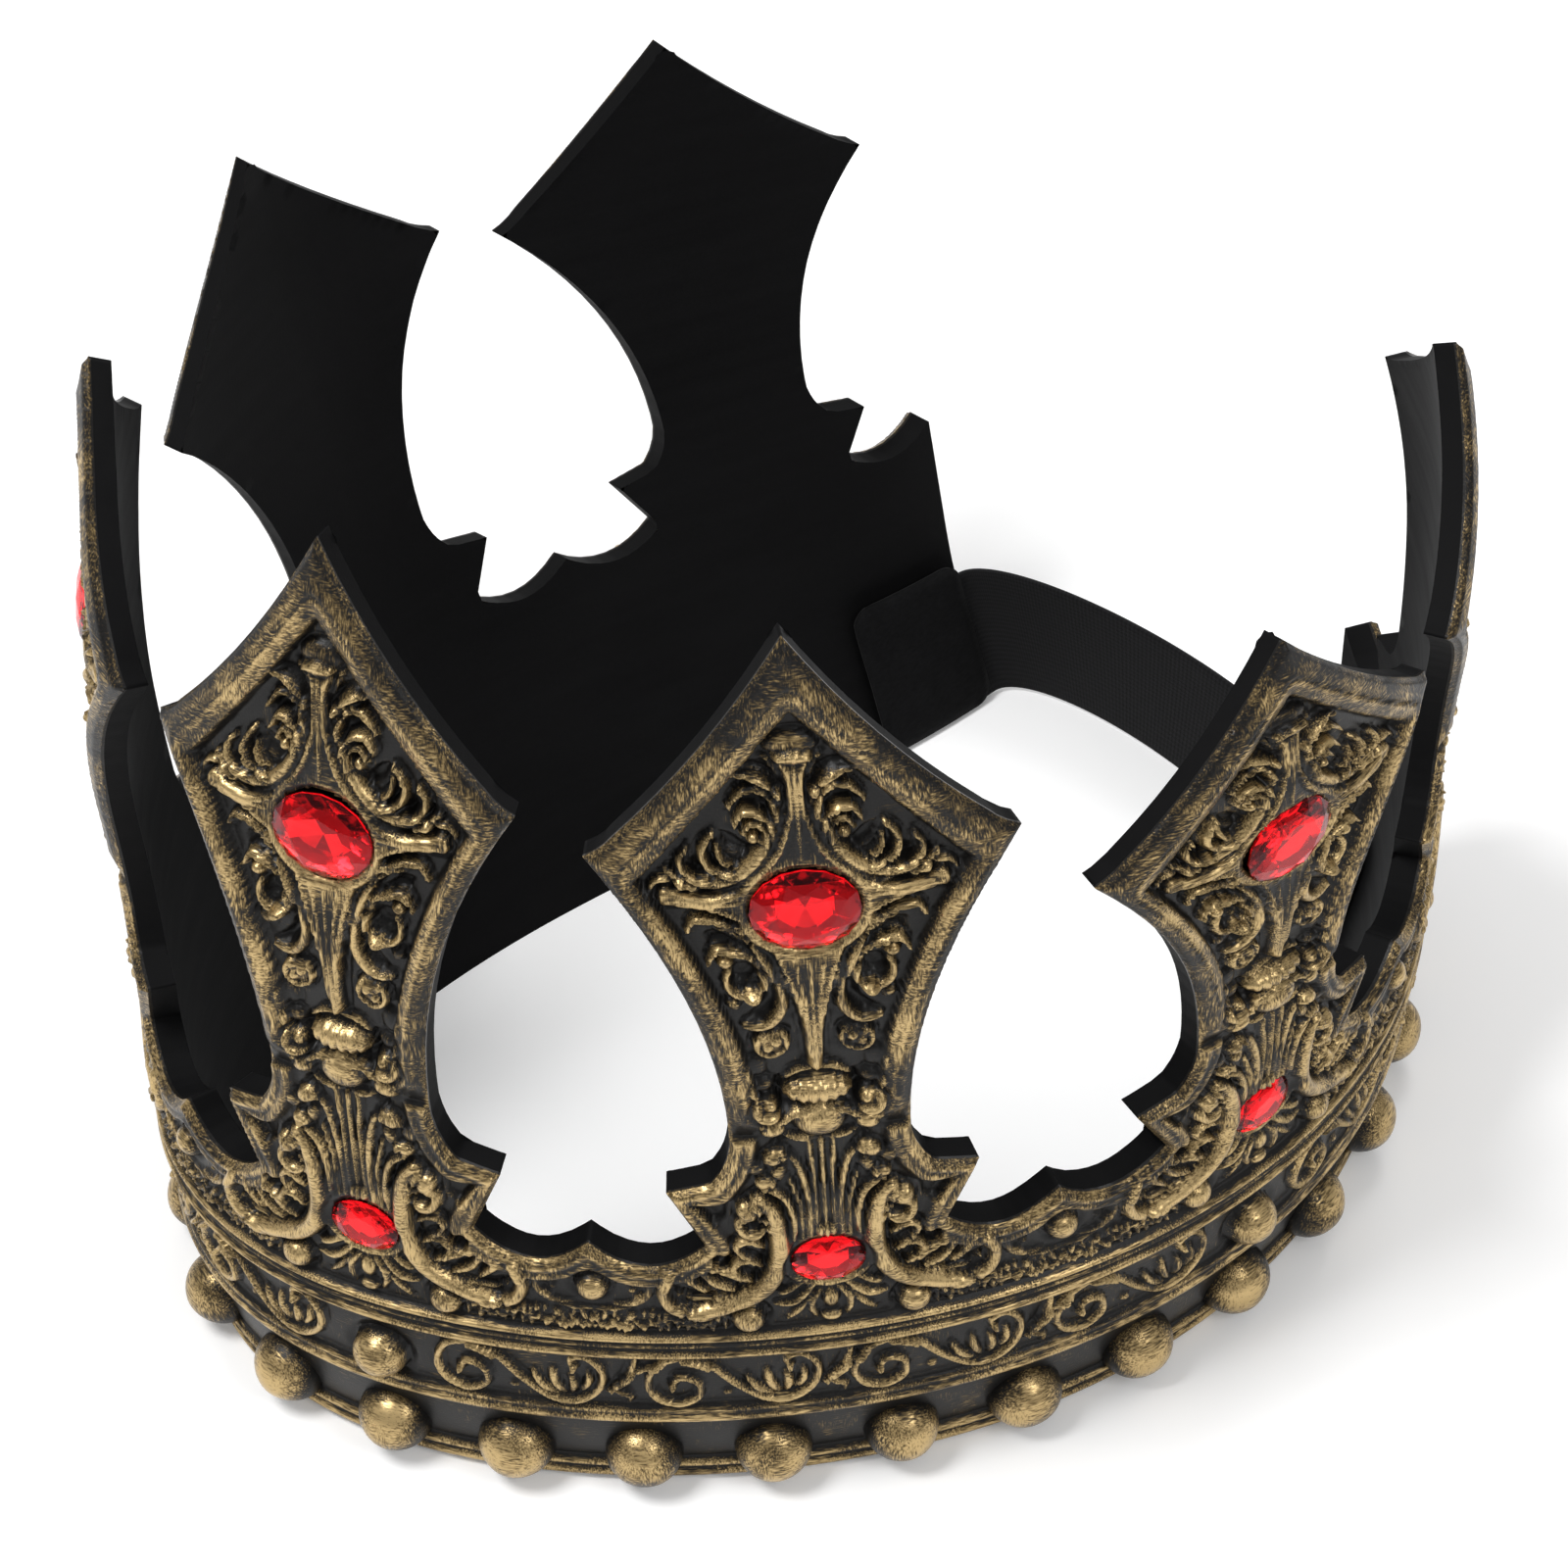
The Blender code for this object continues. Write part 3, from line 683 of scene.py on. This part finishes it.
def linked(name, data):
    obj = bpy.data.objects.new(name, data)
    bpy.context.scene.collection.objects.link(obj)
    return obj


def object_from(name, bm):
    mesh = bpy.data.meshes.new(name)
    bm.to_mesh(mesh)
    bm.free()
    return linked(name, mesh)


def mesh_from(name, points, faces):
    """A smooth-shaded object from arrays of points and of faces, each with 3 or 4 corners."""
    mesh = bpy.data.meshes.new(name)
    sizes = np.array([len(face) for face in faces])
    corners = np.concatenate([np.ravel(face) for face in faces])
    mesh.vertices.add(len(points))
    mesh.vertices.foreach_set("co", np.ravel(points).astype(np.float32))
    mesh.loops.add(len(corners))
    mesh.loops.foreach_set("vertex_index", corners.astype(np.int32))
    mesh.polygons.add(len(sizes))
    starts = np.concatenate([[0], np.cumsum(sizes)[:-1]])
    mesh.polygons.foreach_set("loop_start", starts.astype(np.int32))
    mesh.polygons.foreach_set("loop_total", sizes.astype(np.int32))
    mesh.update(calc_edges=True)
    mesh.shade_smooth()
    return linked(name, mesh)


def add_values(obj, name, values):
    attribute = obj.data.attributes.new(name, "FLOAT", "POINT")
    attribute.data.foreach_set("value", np.asarray(values, np.float32))


def add_vectors(obj, name, x, y, z, scale=MM):
    """Flat coordinates, so that a material's grain follows the strip."""
    attribute = obj.data.attributes.new(name, "FLOAT_VECTOR", "POINT")
    flat = np.stack([x, y, z], axis=-1) * scale
    attribute.data.foreach_set("vector", np.ravel(flat).astype(np.float32))


def edge_distance():
    """Distance from the unit's outline over half a unit, positive on the crown's side."""
    relief = Relief(PITCH / 2, 0.0, RELIEF_TOP)
    edge = unit_edge()
    away = relief.distance(edge)
    body = [(0.0, -5.0), (PITCH / 2 + 5, -5.0), (PITCH / 2 + 5, VALLEY_PEAK[1]), *reversed(edge)]
    relief.h = np.where(relief.inside(body), away, -away)
    return relief


def half_unit(s):
    """Distance of each place on the strip from the axis of its own unit."""
    return abs(s - np.round(s / PITCH) * PITCH)


def cells_of(number):
    """The corners of each cell in a grid of node numbers."""
    corners = number[:-1, :-1], number[1:, :-1], number[1:, 1:], number[:-1, 1:]
    return np.stack(corners, axis=-1).reshape(-1, 4)


def snapped_grid(step, edge):
    """A flat grid over the strip. Nodes near the outline are moved onto it, those past it dropped.

    Returns s and v of the nodes, the faces with four and with three corners, and the nodes'
    distance from the outline.
    """
    columns = int(round(2 * STRIP_END / step))
    rows = int(math.ceil(TIP[1] / step)) + 1
    s, v = np.meshgrid(
        np.linspace(-STRIP_END, STRIP_END, columns + 1), np.arange(rows + 1) * step, indexing="ij"
    )
    depth = edge.at(half_unit(s), v)
    depth = np.where(v > TIP[1] + 0.6, -5.0, depth)
    slope_s, slope_v = np.gradient(depth, step)
    size = np.maximum(np.hypot(slope_s, slope_v), 0.5)
    near = abs(depth) < step * SNAP_REACH
    held = (abs(s) > STRIP_END - step / 2) & near
    move = np.where(near, depth, 0) / size
    v = v - move * np.where(held, np.sign(slope_v), slope_v / size)
    s = s - np.where(held, 0, move * slope_s / size)
    kept = depth > -step * SNAP_REACH
    number = np.where(kept, np.cumsum(kept.ravel()).reshape(kept.shape) - 1, -1)
    cells = cells_of(number)
    known = (cells >= 0).sum(axis=1)
    quads = cells[known == 4]
    thirds = cells[known == 3]
    thirds = thirds[thirds >= 0].reshape(-1, 3)
    return s[kept], v[kept], quads, thirds, depth[kept]


def boundary_of(quads, thirds):
    """Directed edges that belong to one face only."""
    pairs = [np.stack([f, np.roll(f, -1, axis=1)], axis=-1).reshape(-1, 2) for f in (quads, thirds)]
    pairs = np.vstack(pairs)
    low, high = pairs.min(axis=1), pairs.max(axis=1)
    key = low.astype(np.int64) * (high.max() + 1) + high
    _, index, count = np.unique(key, return_index=True, return_counts=True)
    return pairs[index[count == 1]]


def sampled_height(unit, scroll, s, v):
    u = half_unit(s)
    along = np.mod(s, 2 * PITCH)
    band = smooth(24.0, 24.6, v) * smooth(38.8, 38.2, v)
    return unit.at(u, v) * (1 - band) + scroll.at(along, v) * band


def shell_face(edge, unit, scroll):
    """The moulded outer face with all its relief, and the black side walls behind its edges."""
    gilt_unit, gilt_scroll = gilt_of(unit), gilt_of(scroll)
    s, v, quads, thirds, depth = snapped_grid(GRID, edge)
    off = sampled_height(unit, scroll, s, v)
    on_rim = abs(depth) < GRID * SNAP_REACH
    off = np.where(on_rim | (v < 0.01), np.minimum(off, 0.0), off)
    gilt = sampled_height(gilt_unit, gilt_scroll, s, v)
    edge_gold = 0.75 - 0.25 * smooth(95, 105, v)
    gilt = np.maximum(gilt, edge_gold * smooth(1.2, 0.2, depth) * (v > 50))
    near_stud = np.hypot(s - np.round(s / BAND_STUD_SPACING) * BAND_STUD_SPACING, v - BAND_STUD[0])
    gilt = np.where((near_stud < 9) & (v > 6) & (v < 20), 0.0, gilt)
    # Side walls: the boundary's edges swept to the inner face, with nodes of their own.
    rim = boundary_of(quads, thirds)
    ends = np.unique(rim)
    place = {node: index for index, node in enumerate(ends)}
    rim = np.array([[place[a], place[b]] for a, b in rim])
    rs, rv, ro = s[ends], v[ends], off[ends]
    layers = 4
    ws, wv = np.tile(rs, layers), np.tile(rv, layers)
    parts = np.repeat([0.0, 0.12, 0.5, 1.0], len(ends))
    wo = np.tile(ro, layers) * (1 - parts) - np.tile(wall(rv), layers) * parts
    start, end = rim.T
    walls = []
    for layer in range(layers - 1):
        low = len(s) + layer * len(ends)
        high = low + len(ends)
        walls.append(np.stack([low + end, low + start, high + start, high + end], axis=1))
    walls = np.vstack(walls)
    flat = [np.concatenate(pair) for pair in ((s, ws), (v, wv), (off, wo))]
    face = mesh_from("shell_relief", surface(*flat), list(quads) + list(thirds) + list(walls))
    dark = np.zeros(len(face.data.polygons), np.int32)
    dark[len(quads) + len(thirds) + len(rim):] = 1
    face.data.polygons.foreach_set("material_index", dark)
    wall_gilt = 0.5 * (parts < 0.05) * (wv > 40)
    add_values(face, "gilt", np.concatenate([gilt, wall_gilt]))
    add_vectors(face, "flat", *flat)
    return face


def shell_lining(edge):
    """The smooth inner face of the foam."""
    s, v, quads, thirds, _ = snapped_grid(BACK_GRID, edge)
    points = surface(s, v, -wall(v))
    faces = [face[::-1] for face in quads] + [face[::-1] for face in thirds]
    lining = mesh_from("shell_lining", points, faces)
    add_vectors(lining, "flat", s, v, -wall(v))
    return lining


def band_studs():
    """The row of large round studs, a little uneven as moulded foam is."""
    bm = bmesh.new()
    rough = np.random.default_rng(3)
    gilt, flat = [], []
    for index in range(-11, 12):
        place = frame_at(index * BAND_STUD_SPACING, BAND_STUD[0])
        radius = BAND_STUD[1] * rough.uniform(0.97, 1.0)
        ball = bmesh.ops.create_icosphere(bm, subdivisions=4, radius=1.0)
        wave = rough.uniform(0, 6.28, 3)
        for vert in ball["verts"]:
            x, y, z = vert.co
            # Gold sits on each stud's crown as a dry brush leaves it, but weighting it to the upper
            # outward side, up to pale gold there and near black round the base, is a painted highlight
            # and painted shade.
            brushed_and_highlight = smooth(-0.15, 0.95, 0.35 * z - 0.85 * y)
            patchy = math.sin(2.6 * x + wave[2]) * math.sin(2.2 * z + wave[1])
            gilt.append(0.06 + 0.96 * brushed_and_highlight + 0.18 * patchy)
            flat.append((index * BAND_STUD_SPACING + x * radius, z * radius, -y * radius))
            uneven = 1 + 0.012 * math.sin(4 * x + wave[0]) * math.sin(4 * z + wave[1])
            vert.co = place @ (vert.co * radius * MM * uneven)
    studs = object_from("band_studs", bm)
    studs.data.shade_smooth()
    add_values(studs, "gilt", gilt)
    add_vectors(studs, "flat", *np.array(flat).T)
    return studs


def faceted_gem(name, place, spec):
    """An oval brilliant: clear table, star and kite facets over a silvered pavilion."""
    _, across, up, depth, rise = spec
    sides = 8
    rings = (
        (0.56, rise, 0.0, sides),
        (0.80, rise * 0.70, 0.5, sides),
        (1.0, rise * 0.16, 0.0, 2 * sides),
        (1.0, -0.05, 0.0, 2 * sides),
        (0.52, -depth * 0.70, 0.5, sides),
    )
    bm = bmesh.new()
    levels = []
    for size, level, shift, count in rings:
        angles = [(i + shift) * 2 * math.pi / count for i in range(count)]
        spots = [(across * size * math.cos(t), -level, up * size * math.sin(t)) for t in angles]
        levels.append([bm.verts.new(Vector(spot) * MM) for spot in spots])
    table, star_ring, girdle, lower, pavilion = levels
    culet = bm.verts.new(Vector((0, depth * 0.97, 0)) * MM)
    bm.faces.new(table)
    for i in range(2 * sides):
        j = (i + 1) % (2 * sides)
        bm.faces.new((girdle[i], girdle[j], lower[j], lower[i]))
    silvered = []
    for i in range(sides):
        j = (i + 1) % sides
        k = (2 * i + 2) % (2 * sides)
        bm.faces.new((table[i], star_ring[i], table[j]))
        bm.faces.new((star_ring[i - 1], table[i], star_ring[i], girdle[2 * i]))
        bm.faces.new((star_ring[i], girdle[2 * i], girdle[2 * i + 1]))
        bm.faces.new((star_ring[i], girdle[2 * i + 1], girdle[k]))
        silvered.append(bm.faces.new((lower[2 * i], lower[2 * i + 1], pavilion[i])))
        silvered.append(bm.faces.new((lower[2 * i + 1], lower[k], pavilion[i])))
        silvered.append(bm.faces.new((pavilion[i - 1], lower[2 * i], pavilion[i], culet)))
    for facet in silvered:
        facet.material_index = 1
    bmesh.ops.recalc_face_normals(bm, faces=bm.faces)
    gem = object_from(name, bm)
    gem.data.transform(place)
    return gem


def thicken(piece, thickness):
    solid = piece.modifiers.new("thickness", "SOLIDIFY")
    solid.thickness = thickness * MM
    solid.offset = 0.0


def ribbon(name, place, columns, rows, thickness):
    """A woven band from place(across, up), with Solidify and softened edges."""
    across, up = np.meshgrid(np.linspace(0, 1, columns + 1), np.linspace(0, 1, rows + 1), indexing="ij")
    points = np.array([place(a, b) for a, b in zip(across.ravel(), up.ravel())])
    number = np.arange(points.shape[0]).reshape(across.shape)
    band = mesh_from(name, points, list(cells_of(number)))
    add_vectors(band, "weave", across.ravel(), up.ravel(), 0 * up.ravel(), scale=1.0)
    thicken(band, thickness)
    round_off = band.modifiers.new("soft_edges", "BEVEL")
    round_off.width = 0.35 * MM
    round_off.segments = 2
    return band


def strap_place(across, up):
    """The strap lies on the inside of both ends and runs freely over the gap at the back."""
    v = STRAP_LIFT + STRAP_WIDTH * up
    off = -wall(v) - GLUE_GAP - STRAP_THICKNESS / 2
    held = 0.2
    if across < held:
        return surface(-STRIP_END + STRAP_HOLD * (1 - across / held), v, off)
    if across > 1 - held:
        return surface(STRIP_END - STRAP_HOLD * (1 - (1 - across) / held), v, off)
    t = (across - held) / (1 - 2 * held)
    ends = [surface(side * STRIP_END, v, off) for side in (-1, 1)]
    inner = [surface(side * (STRIP_END - 1), v, off) for side in (-1, 1)]
    pulls = [e + (e - i) / np.linalg.norm(e - i) * p * MM for e, i, p in zip(ends, inner, STRAP_PULLS)]
    a, b, c, d = ends[0], pulls[0], pulls[1], ends[1]
    return a * (1 - t) ** 3 + b * 3 * t * (1 - t) ** 2 + c * 3 * t**2 * (1 - t) + d * t**3


def patch(name, side):
    """A felt patch with round corners over the glued end of the strap."""
    radius, steps = 4.0, 8
    right, top = PATCH_LENGTH - radius, PATCH_HEIGHT - radius
    outline = []
    for x, y, start in ((right, top, 0), (radius, top, 90), (radius, radius, 180), (right, radius, 270)):
        outline += arc((x, y), radius, start, start + 90, steps=steps)
    bm = bmesh.new()
    bm.faces.new([bm.verts.new((x, y, 0)) for x, y in outline])
    for axis, length in ((0, PATCH_LENGTH), (1, PATCH_HEIGHT)):
        normal = Vector((axis == 0, axis == 1, 0))
        for position in np.arange(2.0, length - 1, 2.0):
            geometry = bm.verts[:] + bm.edges[:] + bm.faces[:]
            bmesh.ops.bisect_plane(bm, geom=geometry, plane_co=normal * position, plane_no=normal)
    for vert in bm.verts:
        x, y = vert.co.x, vert.co.y
        v = STRAP_LIFT + y
        rim = min(x, PATCH_LENGTH - x, y, PATCH_HEIGHT - y)
        lift = GLUE_GAP + STRAP_THICKNESS + 0.3 + PATCH_THICKNESS / 2 - 0.5 * math.exp(-rim / 1.5)
        vert.co = surface(side * (STRIP_END - 1 - x), v, -wall(v) - lift)
    bmesh.ops.recalc_face_normals(bm, faces=bm.faces)
    piece = object_from(name, bm)
    piece.data.shade_smooth()
    thicken(piece, PATCH_THICKNESS - 0.2)
    return piece


# Materials.


class Nodes:
    """A small helper that builds a material's node tree."""

    def __init__(self, name):
        self.material = bpy.data.materials.new(name)
        self.material.use_nodes = True
        self.tree = self.material.node_tree
        self.shader = self.tree.nodes["Principled BSDF"]

    def add(self, kind, inputs=None, **settings):
        node = self.tree.nodes.new(kind)
        for name, value in settings.items():
            setattr(node, name, value)
        for name, value in (inputs or {}).items():
            self.put(node.inputs[name], value)
        return node

    def put(self, socket, value):
        if isinstance(value, bpy.types.NodeSocket):
            self.tree.links.new(value, socket)
        else:
            socket.default_value = value

    def set(self, **values):
        for name, value in values.items():
            self.put(self.shader.inputs[name.replace("_", " ")], value)

    def math(self, operation, a, b=0.0):
        node = self.add("ShaderNodeMath", operation=operation)
        self.put(node.inputs[0], a)
        self.put(node.inputs[1], b)
        return node.outputs[0]

    def plus(self, a, b):
        return self.math("ADD", a, b)

    def times(self, a, b):
        return self.math("MULTIPLY", a, b)

    def blend(self, a, share, b, other):
        """Two values added, each by its own share."""
        return self.plus(self.times(a, share), self.times(b, other))

    def ranged(self, value, low, high):
        """0 up to low, 1 from high on."""
        inputs = {"Value": value, "From Min": low, "From Max": high}
        return self.add("ShaderNodeMapRange", inputs).outputs["Result"]

    def attribute(self, name, output="Vector"):
        return self.add("ShaderNodeAttribute", attribute_name=name).outputs[output]

    def place(self):
        return self.add("ShaderNodeTexCoord").outputs["Object"]

    def noise(self, vector, scale, detail=4.0, stretch=(1, 1, 1)):
        mapping = self.add("ShaderNodeMapping", {"Vector": vector, "Scale": stretch})
        inputs = {"Vector": mapping.outputs[0], "Scale": scale, "Detail": detail}
        return self.add("ShaderNodeTexNoise", inputs).outputs["Fac"]

    def ramp(self, factor, stops):
        node = self.add("ShaderNodeValToRGB", {"Fac": factor})
        elements = node.color_ramp.elements
        while len(elements) < len(stops):
            elements.new(0.5)
        for element, (position, colour) in zip(elements, stops):
            element.position = position
            element.color = (*colour, 1.0)
        return node.outputs["Color"]

    def bump(self, height, strength, distance):
        inputs = {"Height": height, "Strength": strength, "Distance": distance}
        self.put(self.shader.inputs["Normal"], self.add("ShaderNodeBump", inputs).outputs["Normal"])


BLACK = (0.0045, 0.0042, 0.0040)
SOOT = (0.013, 0.012, 0.011)
OLD_GOLD = (0.060, 0.042, 0.021)
GOLD = (0.205, 0.143, 0.064)
PALE_GOLD = (0.56, 0.405, 0.19)


def gilded_foam():
    """Black foam with gold dragged over its high places in fine uneven strokes."""
    n = Nodes("gilded_foam")
    flat = n.attribute("flat")
    # On the band studs the gilt also holds a painted highlight on their upper outward side and painted
    # shade round their base.
    gilt = n.attribute("gilt", "Fac")
    streaks = n.noise(flat, 3600.0, 3.0, (1.0, 0.13, 1.0))
    cross = n.noise(flat, 3000.0, 3.0, (0.16, 1.0, 1.0))
    blotches = n.noise(flat, 120.0, 5.0)
    grain = n.noise(flat, 2600.0, 2.0)
    turned = n.ranged(n.noise(flat, 160.0, 2.0), 0.45, 0.55)
    hair = n.add("ShaderNodeMix", {"Factor": turned, "A": streaks, "B": cross}, data_type="FLOAT")
    hair = hair.outputs["Result"]
    worn = n.times(n.math("SUBTRACT", hair, 0.52), 1.8)
    worn = n.plus(worn, n.times(n.math("SUBTRACT", blotches, 0.5), 1.3))
    paint = n.plus(gilt, worn)
    cover = n.ranged(paint, 0.30, 0.80)
    black = n.ramp(grain, ((0.3, BLACK), (0.8, SOOT)))
    shade = n.blend(paint, 0.8, hair, 0.2)
    gold = n.ramp(shade, ((0.35, OLD_GOLD), (0.66, GOLD), (1.0, PALE_GOLD)))
    colour = n.add("ShaderNodeMix", {"Factor": cover, "A": black, "B": gold}, data_type="RGBA")
    rough = n.plus(n.times(grain, 0.20), 0.26)
    n.set(Base_Color=colour.outputs["Result"], Metallic=n.times(cover, 0.75),
          Roughness=n.plus(rough, n.times(cover, -0.05)), Specular_IOR_Level=0.22)
    height = n.blend(hair, 0.6, grain, 0.4)
    n.bump(n.plus(height, n.times(cover, 0.4)), 0.30, 0.0002)
    return n.material


def lining_foam():
    """Smooth black inner skin with faint scuffs."""
    n = Nodes("foam_lining")
    flat = n.attribute("flat")
    cloud = n.noise(flat, 22.0, 5.0)
    scuff = n.noise(flat, 240.0, 6.0, (0.15, 1.0, 1.0))
    fine = n.noise(flat, 2400.0, 2.0)
    colour = n.ramp(n.blend(cloud, 0.6, scuff, 0.4),
                    ((0.30, (0.0036, 0.0036, 0.0038)), (0.75, (0.0066, 0.0066, 0.0069))))
    n.set(Base_Color=colour, Roughness=n.plus(n.times(scuff, 0.2), 0.52), Specular_IOR_Level=0.06)
    n.bump(n.blend(fine, 0.4, cloud, 0.6), 0.25, 0.0003)
    return n.material


def red_gem():
    """Clear red acrylic."""
    n = Nodes("red_acrylic")
    cloud = n.noise(n.place(), 130.0, 3.0)
    colour = n.ramp(cloud, ((0.3, (0.88, 0.005, 0.009)), (0.7, (0.97, 0.012, 0.018))))
    n.set(Base_Color=colour, Roughness=0.02, IOR=1.46, Transmission_Weight=1.0,
          Specular_Tint=(1.0, 0.35, 0.4, 1.0))
    n.bump(cloud, 0.02, 0.0002)
    return n.material


def foil():
    """Silvered foil behind the gem, tinted by the stone's glow."""
    n = Nodes("gem_foil")
    crinkle = n.noise(n.place(), 420.0, 4.0)
    colour = n.ramp(crinkle, ((0.3, (0.95, 0.80, 0.80)), (0.75, (1.0, 0.95, 0.95))))
    n.set(Base_Color=colour, Metallic=1.0, Roughness=0.08)
    n.bump(crinkle, 0.2, 0.0002)
    return n.material


def woven_elastic():
    """Narrow ribs across a black elastic band, with the threads of its weave."""
    n = Nodes("woven_elastic")
    weave = n.attribute("weave")
    split = n.add("ShaderNodeSeparateXYZ", {"Vector": weave})
    along = n.math("SINE", n.times(split.outputs["X"], 1150.0))
    over = n.math("SINE", n.times(split.outputs["Y"], 170.0))
    threads = n.blend(along, 0.5, over, 0.35)
    fuzz = n.noise(weave, 300.0, 4.0, (4.0, 1.0, 1.0))
    mixed = n.plus(n.times(threads, 0.3), fuzz)
    colour = n.ramp(mixed, ((0.25, (0.004, 0.004, 0.0043)), (0.85, (0.015, 0.015, 0.016))))
    n.set(Base_Color=colour, Roughness=0.8, Specular_IOR_Level=0.15, Sheen_Weight=0.02,
          Sheen_Roughness=0.4)
    n.bump(mixed, 0.5, 0.0003)
    return n.material


def felt():
    """Short black fibres in soft clumps."""
    n = Nodes("black_felt")
    place = n.place()
    fibres = n.noise(place, 1400.0, 6.0, (1.0, 0.3, 1.0))
    clumps = n.noise(place, 180.0, 4.0)
    mixed = n.blend(fibres, 0.6, clumps, 0.4)
    n.set(Base_Color=n.ramp(mixed, ((0.3, (0.0025, 0.0025, 0.0027)), (0.8, (0.008, 0.008, 0.0085)))),
          Roughness=0.92, Specular_IOR_Level=0.1, Sheen_Weight=0.02, Sheen_Roughness=0.5)
    n.bump(mixed, 0.6, 0.0004)
    return n.material


def pale_floor():
    """Plain near-white floor that glows a little, so that it stays pale."""
    n = Nodes("studio_floor")
    colour = n.ramp(n.noise(n.place(), 3.0), ((0.0, (0.93, 0.93, 0.93)), (1.0, (0.96, 0.96, 0.96))))
    n.set(Base_Color=colour, Roughness=0.9, Specular_IOR_Level=0.1, Emission_Color=(1, 1, 1, 1),
          Emission_Strength=0.14)
    return n.material


# Assembly.


def finish_piece(piece, material, slot, *replaced):
    piece.data.materials.append(material)
    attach(piece, "root")
    if replaced:
        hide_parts(*replaced)


def build_shell():
    edge = edge_distance()
    face = shell_face(edge, unit_relief(), scroll_relief())
    gilded, lining = gilded_foam(), lining_foam()
    finish_piece(face, gilded, "shell", "crown_shell")
    face.data.materials.append(lining)
    finish_piece(shell_lining(edge), lining, "shell")
    finish_piece(band_studs(), gilded, "shell")


def build_gems():
    """The stones. The frame's own gems have to sit where this strip puts them."""
    acrylic, silver = red_gem(), foil()
    for size, spec in (("large", LARGE_GEM), ("small", SMALL_GEM)):
        for number, k in enumerate(UNITS, start=1):
            place = frame_at(k * PITCH, spec[0])
            low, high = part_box(f"{size}_gem_{number}")
            miss = ((low + high) / 2 - place.translation).length
            assert miss < 1.5 * MM, f"{size}_gem_{number} is {miss:.4f} m off its place"
            stone = faceted_gem(f"{size}_stone_{number}", place, spec)
            finish_piece(stone, acrylic, "gem", f"{size}_gem_{number}")
            stone.data.materials.append(silver)


def build_strap():
    strap = ribbon("strap_band", strap_place, 160, 12, STRAP_THICKNESS)
    finish_piece(strap, woven_elastic(), "strap", "elastic_strap")
    cloth = felt()
    for name, side in (("left", -1), ("right", 1)):
        finish_piece(patch(f"patch_{name}", side), cloth, "patch", f"strap_patch_{name}")


def add_area_light(name, place, size, power, aim=(0.0, 0.0, 0.08)):
    light = bpy.data.lights.new(name, "AREA")
    light.shape = "DISK"
    light.size = size
    light.energy = power
    obj = linked(name, light)
    obj.location = place
    obj.rotation_euler = (Vector(aim) - Vector(place)).to_track_quat("-Z", "Y").to_euler()


def build_studio():
    """Pale floor, white surroundings and soft lamps."""
    bpy.ops.mesh.primitive_plane_add(size=8.0)
    floor = bpy.context.object
    floor.name = "studio_floor"
    floor.data.materials.append(pale_floor())
    world = bpy.data.worlds.new("studio")
    world.use_nodes = True
    tree = world.node_tree
    place = tree.nodes.new("ShaderNodeTexCoord")
    split = tree.nodes.new("ShaderNodeSeparateXYZ")
    ramp = tree.nodes.new("ShaderNodeValToRGB")
    ramp.color_ramp.elements[0].color = (0.42, 0.42, 0.43, 1)
    ramp.color_ramp.elements[1].color = (1, 1, 1, 1)
    tree.links.new(place.outputs["Generated"], split.inputs["Vector"])
    tree.links.new(split.outputs["Z"], ramp.inputs["Fac"])
    tree.links.new(ramp.outputs["Color"], tree.nodes["Background"].inputs["Color"])
    tree.nodes["Background"].inputs["Strength"].default_value = 0.62
    bpy.context.scene.world = world
    add_area_light("key", (-0.45, -0.55, 1.4), 0.6, 15.0)
    add_area_light("fill", (0.9, -0.4, 0.9), 0.5, 3.5)
    add_area_light("rim", (0.1, 1.0, 1.1), 0.5, 4.0)


def build_camera():
    """The viewing angle: from the right and above, with a long lens and a slight roll."""
    camera = bpy.data.cameras.new("camera")
    camera.sensor_width = 36.0
    camera.lens = 129.2
    camera.clip_end = 20.0
    obj = linked("camera", camera)
    place = Vector((0.3362, -0.6630, 0.7966))
    aim = Vector((-0.0020, 0.0061, 0.070))
    roll = Matrix.Rotation(math.radians(-3.92), 4, "Z")
    turn = (aim - place).to_track_quat("-Z", "Y").to_matrix().to_4x4()
    obj.matrix_world = Matrix.Translation(place) @ turn @ roll
    bpy.context.scene.camera = obj
    bpy.context.scene.view_settings.view_transform = "Standard"


build_camera()
build_studio()
build_shell()
build_gems()
build_strap()
